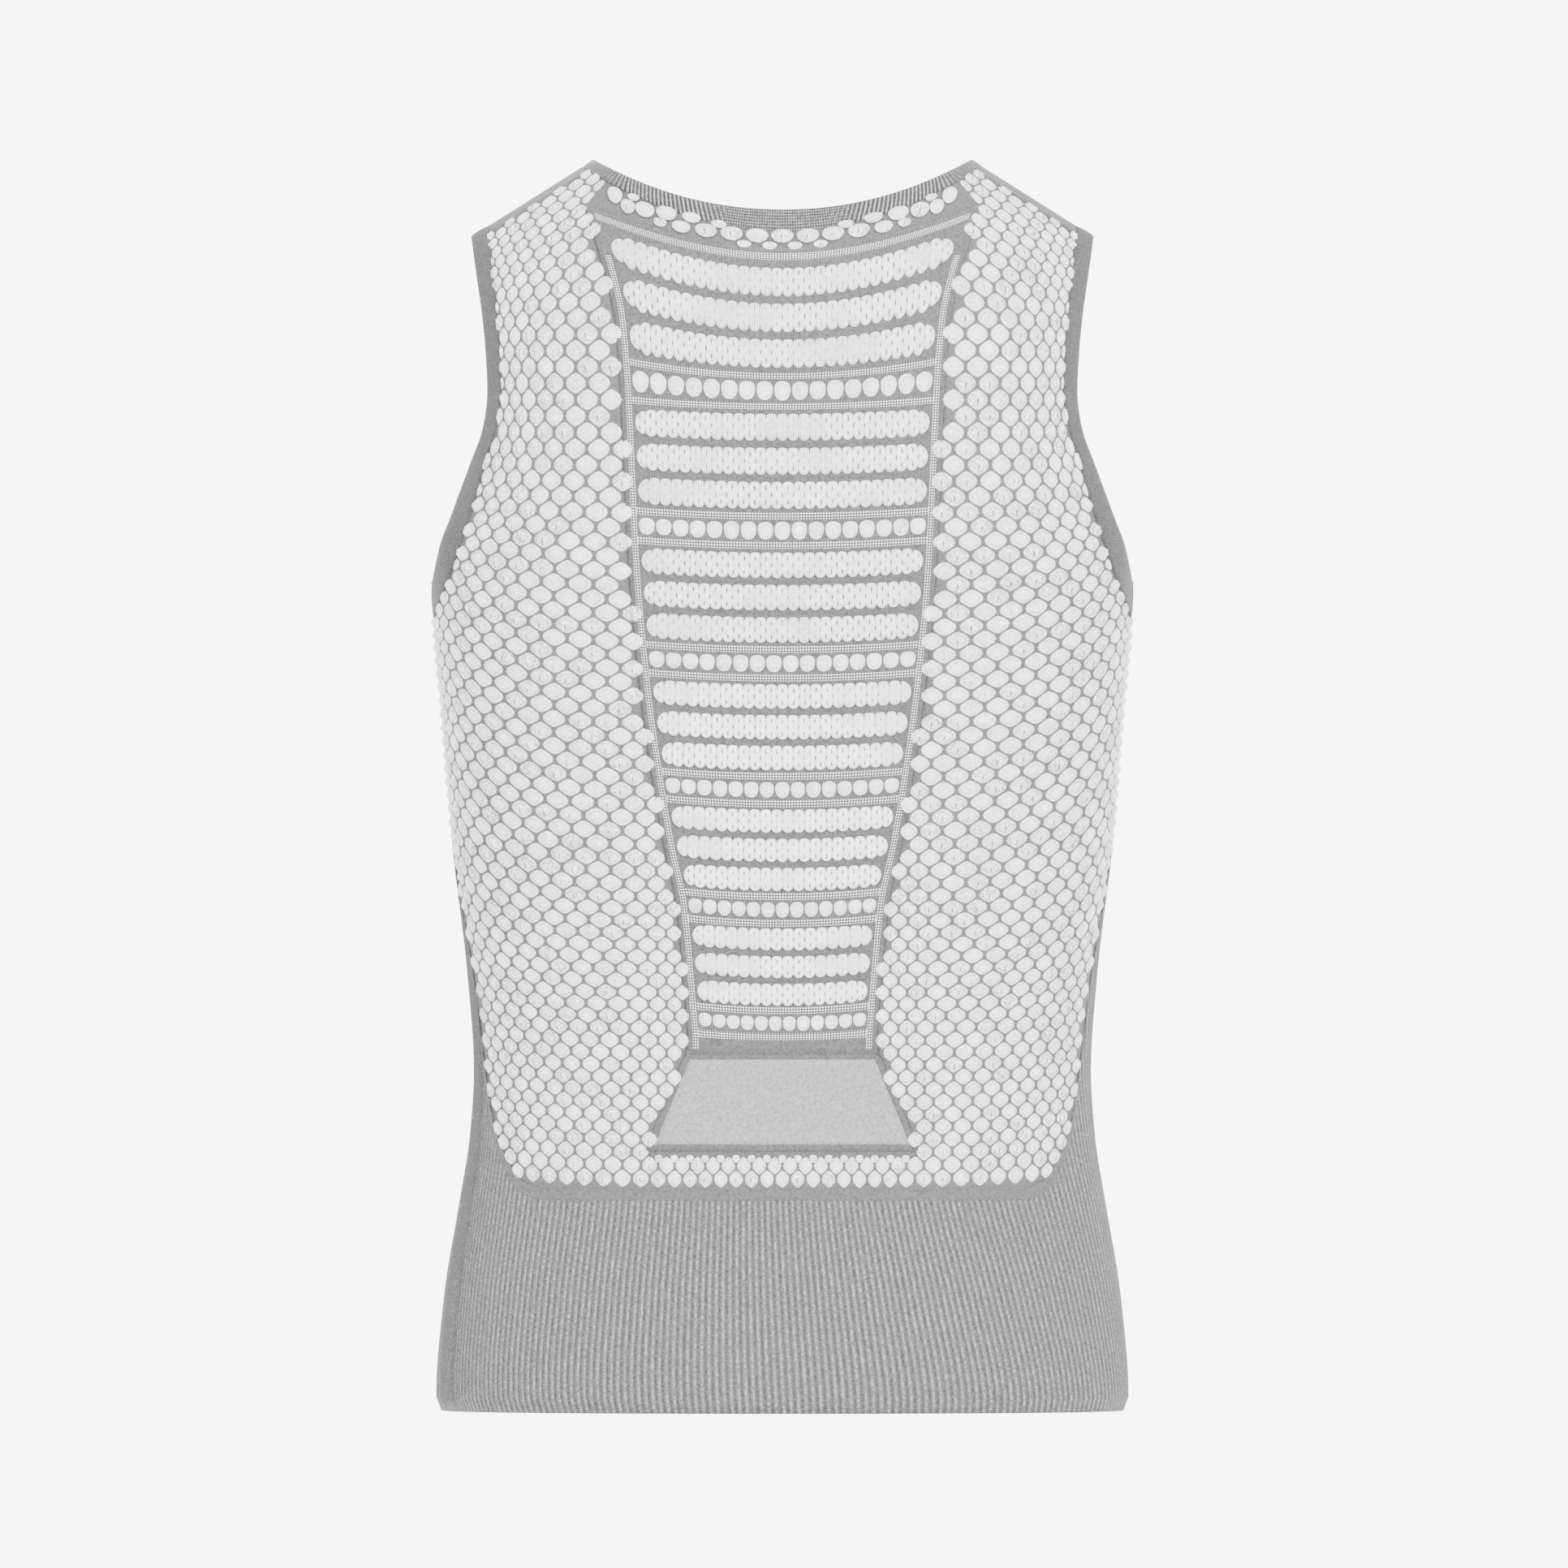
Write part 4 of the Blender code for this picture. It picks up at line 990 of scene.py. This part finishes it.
def smallCells(disc, rho):  # the neck chain and the round beads under the patch
    rows = [(side * x, z, w, h) for x, z, w, h in neckChain for side in ((1, -1) if x else (1,))]
    count, size = patchBeads["count"], patchBeads["size"]
    rows += [((k - (count - 1) / 2) * patchBeads["pitch"], patchBeads["z"], size, size) for k in range(count)]
    x, z, w, h = np.array(rows).T[:, :, None]
    out = squared(disc, rho, chain["power"])
    pointed = 1 - chain["pointed"] * np.clip(-disc[:, 1], 0, 1)
    px = x + disc[:, 0] * out * pointed * w / 2
    slope = chain["slope"] * np.sign(x) * (np.abs(x) / 50) ** 0.8 * (z > -100)
    pz = z + disc[:, 1] * out * h / 2 + (px - x) * slope
    lift = cell["overLift"] + chain["height"] * np.minimum(1.0, h / chain["fullSize"]) * crown(rho)
    return onSkin(angleAt(px, pz), pz, lift)


def cellPoints(knitMap, panel, grown, segments, disc, rho, nearest):
    centres, radii, theta = latticeCells(knitMap, panel, grown, segments)
    spread = radii[:, nearest] * rho
    direction = np.stack([np.cos(theta[nearest]), np.sin(theta[nearest])], -1)
    place = centres[:, None] + spread[..., None] * direction
    size = np.sqrt((radii**2).mean(1))
    height = cell["height"] * np.minimum(1.0, size / cell["fullSize"]) ** 0.8
    height = height * rng.uniform(0.92, 1.05, len(centres))
    base = np.where(inPanel(place, panel), cell["lift"], cell["overLift"])
    lift = base + height[:, None] * crown(rho)
    angle, z = knitMap.locate(place[..., 0] / knit["wale"], place[..., 1] / knit["course"])
    return onSkin(angle, z, lift)


def makeCells(name, front, segments, grain=4, overBand=0.9, overLadder=4.6, reach=88.0):
    disc, faces = domeTemplate(segments, insets)
    rho = np.minimum(np.hypot(disc[:, 0], disc[:, 1]), 1.0)
    turn = np.arctan2(disc[:, 1], disc[:, 0]) % (2 * math.pi)
    nearest = np.rint(turn / (2 * math.pi) * segments).astype(int) % segments
    knitMap = KnitMap(front)
    line = wholeLoop(panelEdge(front, grain, 0.0))
    outer = knitMap.read(line)
    seam = np.abs(np.abs(line[:, 0]) - 90.0) < 0.05
    outer[seam, 0] += np.copysign(cell["seam"] * knit["wale"], outer[seam, 0])  # room for whole cells there
    hole, smallHole = None, None
    if not front:
        half = cellHole(grain, reach)
        over = np.where(np.arange(len(half)) < edgeParts["neck"] * grain + 2, 0.0, -overLadder)
        over = np.concatenate([over, over[-2:0:-1]])
        hole = knitMap.read(wholeLoop(half))
        smallHole = pushed(hole, over[:, None])
    grown = (pushed(outer, overBand), smallHole)
    points = [cellPoints(knitMap, (outer, hole), grown, segments, disc, rho, nearest)]
    if not front:
        points.append(smallCells(disc, rho))
    points = np.concatenate(points)
    print(name, len(points), "cells")
    return domes(name, disc, faces, points, 1)


backCells = makeCells("backCells", False, 16)
frontCells = makeCells("frontCells", True, 12)

print("stage: ribs and bands")
rib = dict(count=262, lift=0.6, base=0.1, wall=1.4, twist=0.08, rows=26, hemShare=0.04, crowding=0.95,
           topFade=(2.0, 5.0), hemFade=(0.5, 4.0))
ribShape = np.array([  # place along a rib's pitch, height
    (0.0, 1.0), (0.2, 0.55), (0.4, 0.06), (0.6, 0.06), (0.8, 0.55),
])


def tubeAngles(z, columns):  # angles evenly spaced by arc right round the garment at a height
    sweep = np.linspace(0, 360, 2881)
    arc = runLength(skin(sweep, z))
    return np.interp(np.arange(columns) / columns * arc[-1], arc, sweep)


def waistTop(angle):
    return readTable(waistEdge, np.minimum(angle % 180, 180 - angle % 180))


points = len(ribShape)
steps = (np.arange(rib["count"])[:, None] + ribShape[:, 0]).ravel()
sweepTable = np.append(tubeAngles(-545.0, rib["count"] * 2 * points), 360.0)
ribAngle = np.interp(steps, np.arange(len(sweepTable)) / (2 * points), sweepTable)
ribTop = waistTop(ribAngle)
hem, hemTop = sections[0, 0], sections[1, 0]
up = np.linspace(0, 1, rib["rows"])[:, None]
climb = np.clip((up - rib["hemShare"]) / (1 - rib["hemShare"]), 0.0, 1.0) ** rib["crowding"]
ribZ = np.where(up < rib["hemShare"], mix(hem, hemTop, up / rib["hemShare"]), mix(hemTop, ribTop, climb))
topFade = np.clip((ribTop - ribZ - rib["topFade"][0]) / rib["topFade"][1], 0.0, 1.0)
hemFade = np.clip((ribZ - hem + rib["hemFade"][0]) / rib["hemFade"][1], 0.15, 1.0)
ribHeight = rib["base"] + rib["lift"] * np.tile(ribShape[:, 1], rib["count"]) * (topFade * hemFade)
ribLean = rib["twist"] * (ribZ - ribTop) / 150.0  # the knit's own slight spiral
ribPoints = onSkin(ribAngle + np.degrees(ribLean), ribZ, ribHeight)
ribUv = np.stack([np.broadcast_to(np.append(steps, rib["count"]), (rib["rows"], len(steps) + 1)),
                  np.concatenate([ribZ, ribZ[:, :1]], 1) * mm], -1)
waistRib = gridPiece("waistRib", ribPoints, True, ribKnit, rib["wall"], ribUv)

border = dict(over=0.4, width=5.5, lift=0.42, sunk=0.12)  # a smooth strip under the waist's edge
borderAngle = tubeAngles(-480.0, 720)
borderZ = waistTop(borderAngle) + np.linspace(border["over"], -border["width"], 6)[:, None]
borderLift = border["lift"] - border["sunk"] * np.array([1, 0, 0, 0, 0, 1])[:, None]
waistBorder = gridPiece("waistBorder", onSkin(borderAngle, borderZ, borderLift), True, jersey)


band = dict(rows=9, base=0.15, roll=0.35, wall=1.3, depth=9.0)


def bandLoop(pairs, pitch, name, lift, material, flare=(0.0,)):
    # pairs of edge and inner lines (angle, z); ribs run across the band, a pitch apart along it
    middle = mix(pairs[0], pairs[1], 0.5)
    points = skin(middle[:, 0], middle[:, 1])
    arc = runLength(np.concatenate([points, points[:1]]))
    ribs = int(round(arc[-1] / pitch))
    phases = (np.arange(ribs)[:, None] + rings(4)).ravel() / ribs * arc[-1]
    index = np.interp(phases, arc, np.arange(len(arc)))
    before, share = index.astype(int), (index % 1)[:, None]
    across = np.linspace(0, 1, band["rows"])
    grid, normals = [], []
    for row in across:
        line = mix(pairs[0], pairs[1], row)
        line = np.concatenate([line, line[:1]])
        after = np.minimum(before + 1, len(line) - 1)
        place, facing = skin(line[:, 0], line[:, 1]), outward(line[:, 0], line[:, 1])
        grid.append(mix(place[before], place[after], share))
        normals.append(unit(mix(facing[before], facing[after], share)))
    crest = np.sin(math.pi * np.clip(across, 0.06, 0.94))[:, None] ** 0.4
    ridge = np.tile([1.0, 0.4, 0.0, 0.4], ribs) * crest
    roll = np.sin(math.pi * across)[:, None] ** 0.5
    swell = np.interp(index, np.arange(len(flare)), flare) * (1 - across)[:, None]
    height = band["base"] + swell + band["roll"] * roll + lift * ridge
    grid = (np.array(grid) + np.array(normals) * height[..., None]) * mm
    along = np.append(phases / arc[-1] * ribs, ribs)
    uv = np.stack(np.meshgrid(along, across * band["depth"] * mm, indexing="xy"), -1)
    return gridPiece(name, grid, True, material, band["wall"], uv)


spans = np.linspace(-1, 1, 241)[:-1]
neckPair = []
for kind in ("edge", "band"):
    backLine = neckLine(kind, spans, False)
    frontLine = neckLine(kind, -spans, True)
    shift = 0.0 if kind == "edge" else -0.5
    neckPair.append(np.concatenate([backLine, roundFront(frontLine)]) + [0.0, shift])
neckBand = bandLoop(neckPair, 2.5, "neckBand", 0.07, bandKnit)
flare = dict(out=1.2, start=0.45, span=0.75)  # the arm band stands out a little before the underarm


def armBand(name, side):
    share = np.linspace(0, 1, 161)
    pair = []
    for kind in ("edge", "band"):
        halves = [armOpening(share, front) if kind == "edge" else besideArm(share, front, 0.5)
                  for front in (False, True)]
        loop = np.concatenate([halves[0], halves[1][-2:0:-1]])
        pair.append(loop * [side, 1])
    tip = np.clip((share - flare["start"]) / flare["span"], 0.0, 1.0)
    tip = flare["out"] * np.sin(math.pi * tip) ** 2
    return bandLoop(pair, 2.2, name, 0.12, armKnit, np.concatenate([tip, tip[-2::-1]]))


armBandLeft, armBandRight = armBand("armBandLeft", 1), armBand("armBandRight", -1)


def strip(name, side):
    line = np.array([stripLine(np.linspace(0, 1, 25), (body["stripDrop"] + 0.5) * k * k, k < 0, 0.0)
                     for k in np.linspace(-1, 1, 17)])
    return gridPiece(name, onSkin(side * line[..., 0], line[..., 1], 0.1), False, jersey, 1.3)


stripLeft, stripRight = strip("shoulderStripLeft", 1), strip("shoulderStripRight", -1)

print("stage: hiding the imported parts and attaching the pieces")
facts = [
    (backNet, "back_mesh", "honeycomb_knit", (0.44, 0.47), 0.11, [backCells]),
    (frontNet, "front_mesh", "honeycomb_knit", (0.45, 0.44), 0.17, [frontCells]),
    (ladderKnit, "ladder_panel", "ladder_knit", (0.2, 0.42), 0.055, [windows, beads, tracks]),
    (patchKnit, "lower_patch", "smooth_knit", (0.135, 0.048), None, [patchFace]),
    (waistRib, "waist_rib", "rib_knit", (0.92, 0.3), 0.115, [waistBorder]),
    (neckBand, "neck_band", "band_knit", (0.58, 0.01), None, []),
    (armBandLeft, "armhole_band_left", "band_knit", (0.466, 0.0135), None, []),
    (armBandRight, "armhole_band_right", "band_knit", (0.466, 0.0135), None, []),
    (stripLeft, "shoulder_strip_left", "smooth_knit", (0.055, 0.03), None, []),
    (stripRight, "shoulder_strip_right", "smooth_knit", (0.055, 0.03), None, []),
]
for sheet, node, slot, flat, area, onIt in facts:
    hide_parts(node)
    for piece in [sheet] + onIt:
        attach(piece, "root")

print("stage: floor, light and camera")
view = dict(distance=18.0, height=-0.289, span=0.7753, floor=-1.45, middle=-0.0008, focus=0.02, reach=16.0,
            sensor=36.0, far=60.0)
sky = {"From Min": 0.04, "From Max": 0.11, "To Min": 8.0, "To Max": 1.0}  # white round the horizon
aim = (0.0, 0.0, -0.3)
lights = [  # name, place, target, size, watts
    ("keyLight", (-1.6, 2.6, 1.4), aim, (1.0, 1.0), 240),
    ("fillLight", (1.9, 2.4, 0.3), aim, (1.6, 1.6), 100),
    ("topLight", (0.0, 0.6, 2.4), aim, (1.6, 1.6), 80),
    ("rearLight", (0.0, -2.2, 1.6), aim, (2.4, 1.6), 60),
    ("backLight", (0.0, -3.8, 1.7), (0.0, 0.0, 1.7), (12.0, 5.0), 900),  # a wide lit screen
]


def studioFloor():  # a wide round floor at the height of the wearer's feet
    disc = bmesh.new()
    bmesh.ops.create_circle(disc, cap_ends=True, segments=96, radius=view["reach"])
    bmesh.ops.translate(disc, verts=disc.verts, vec=(0.0, 0.0, view["floor"]))
    mesh = bpy.data.meshes.new("studioFloor")
    disc.to_mesh(mesh)
    disc.free()
    material, add = newMaterial("white studio paper", 0.9, 0.0)
    paper = add("TexNoise", {"Vector": add("TexCoord", out="Object"), "Scale": 3.0})
    finish(material, add, paper, [(0.0, "F6F6F6"), (1.0, "FAFAFA")], paper, 0.1, 0.1)
    mesh.materials.append(material)
    addObject("studioFloor", mesh)


def areaLight(name, place, target, size, power):
    lamp = bpy.data.lights.new(name, "AREA")
    lamp.shape = "RECTANGLE"
    lamp.size, lamp.size_y = size
    lamp.energy = power
    holder = addObject(name, lamp)
    holder.location = place
    direction = mathutils.Vector(target) - mathutils.Vector(place)
    holder.rotation_euler = direction.to_track_quat("-Z", "Y").to_euler()


studioFloor()
for row in lights:
    areaLight(*row)
world = bpy.data.worlds.new("studio")
world.use_nodes = True
tree = world.node_tree
height = addNode(tree, "SeparateXYZ", [addNode(tree, "TexCoord", out="Generated")], out=2)
background = tree.nodes["Background"]
background.inputs["Color"].default_value = (1.0, 1.0, 1.0, 1.0)
tree.links.new(addNode(tree, "MapRange", {"Value": height, **sky}), background.inputs["Strength"])
bpy.context.scene.world = world

lens = bpy.data.cameras.new("camera")
lens.sensor_width = view["sensor"]
lens.lens = view["sensor"] * view["distance"] / view["span"]
lens.clip_end = view["far"]
camera = addObject("camera", lens)
camera.location = (view["middle"], view["focus"] + view["distance"], view["height"])
camera.rotation_euler = (math.pi / 2, 0.0, math.pi)
bpy.context.scene.camera = camera
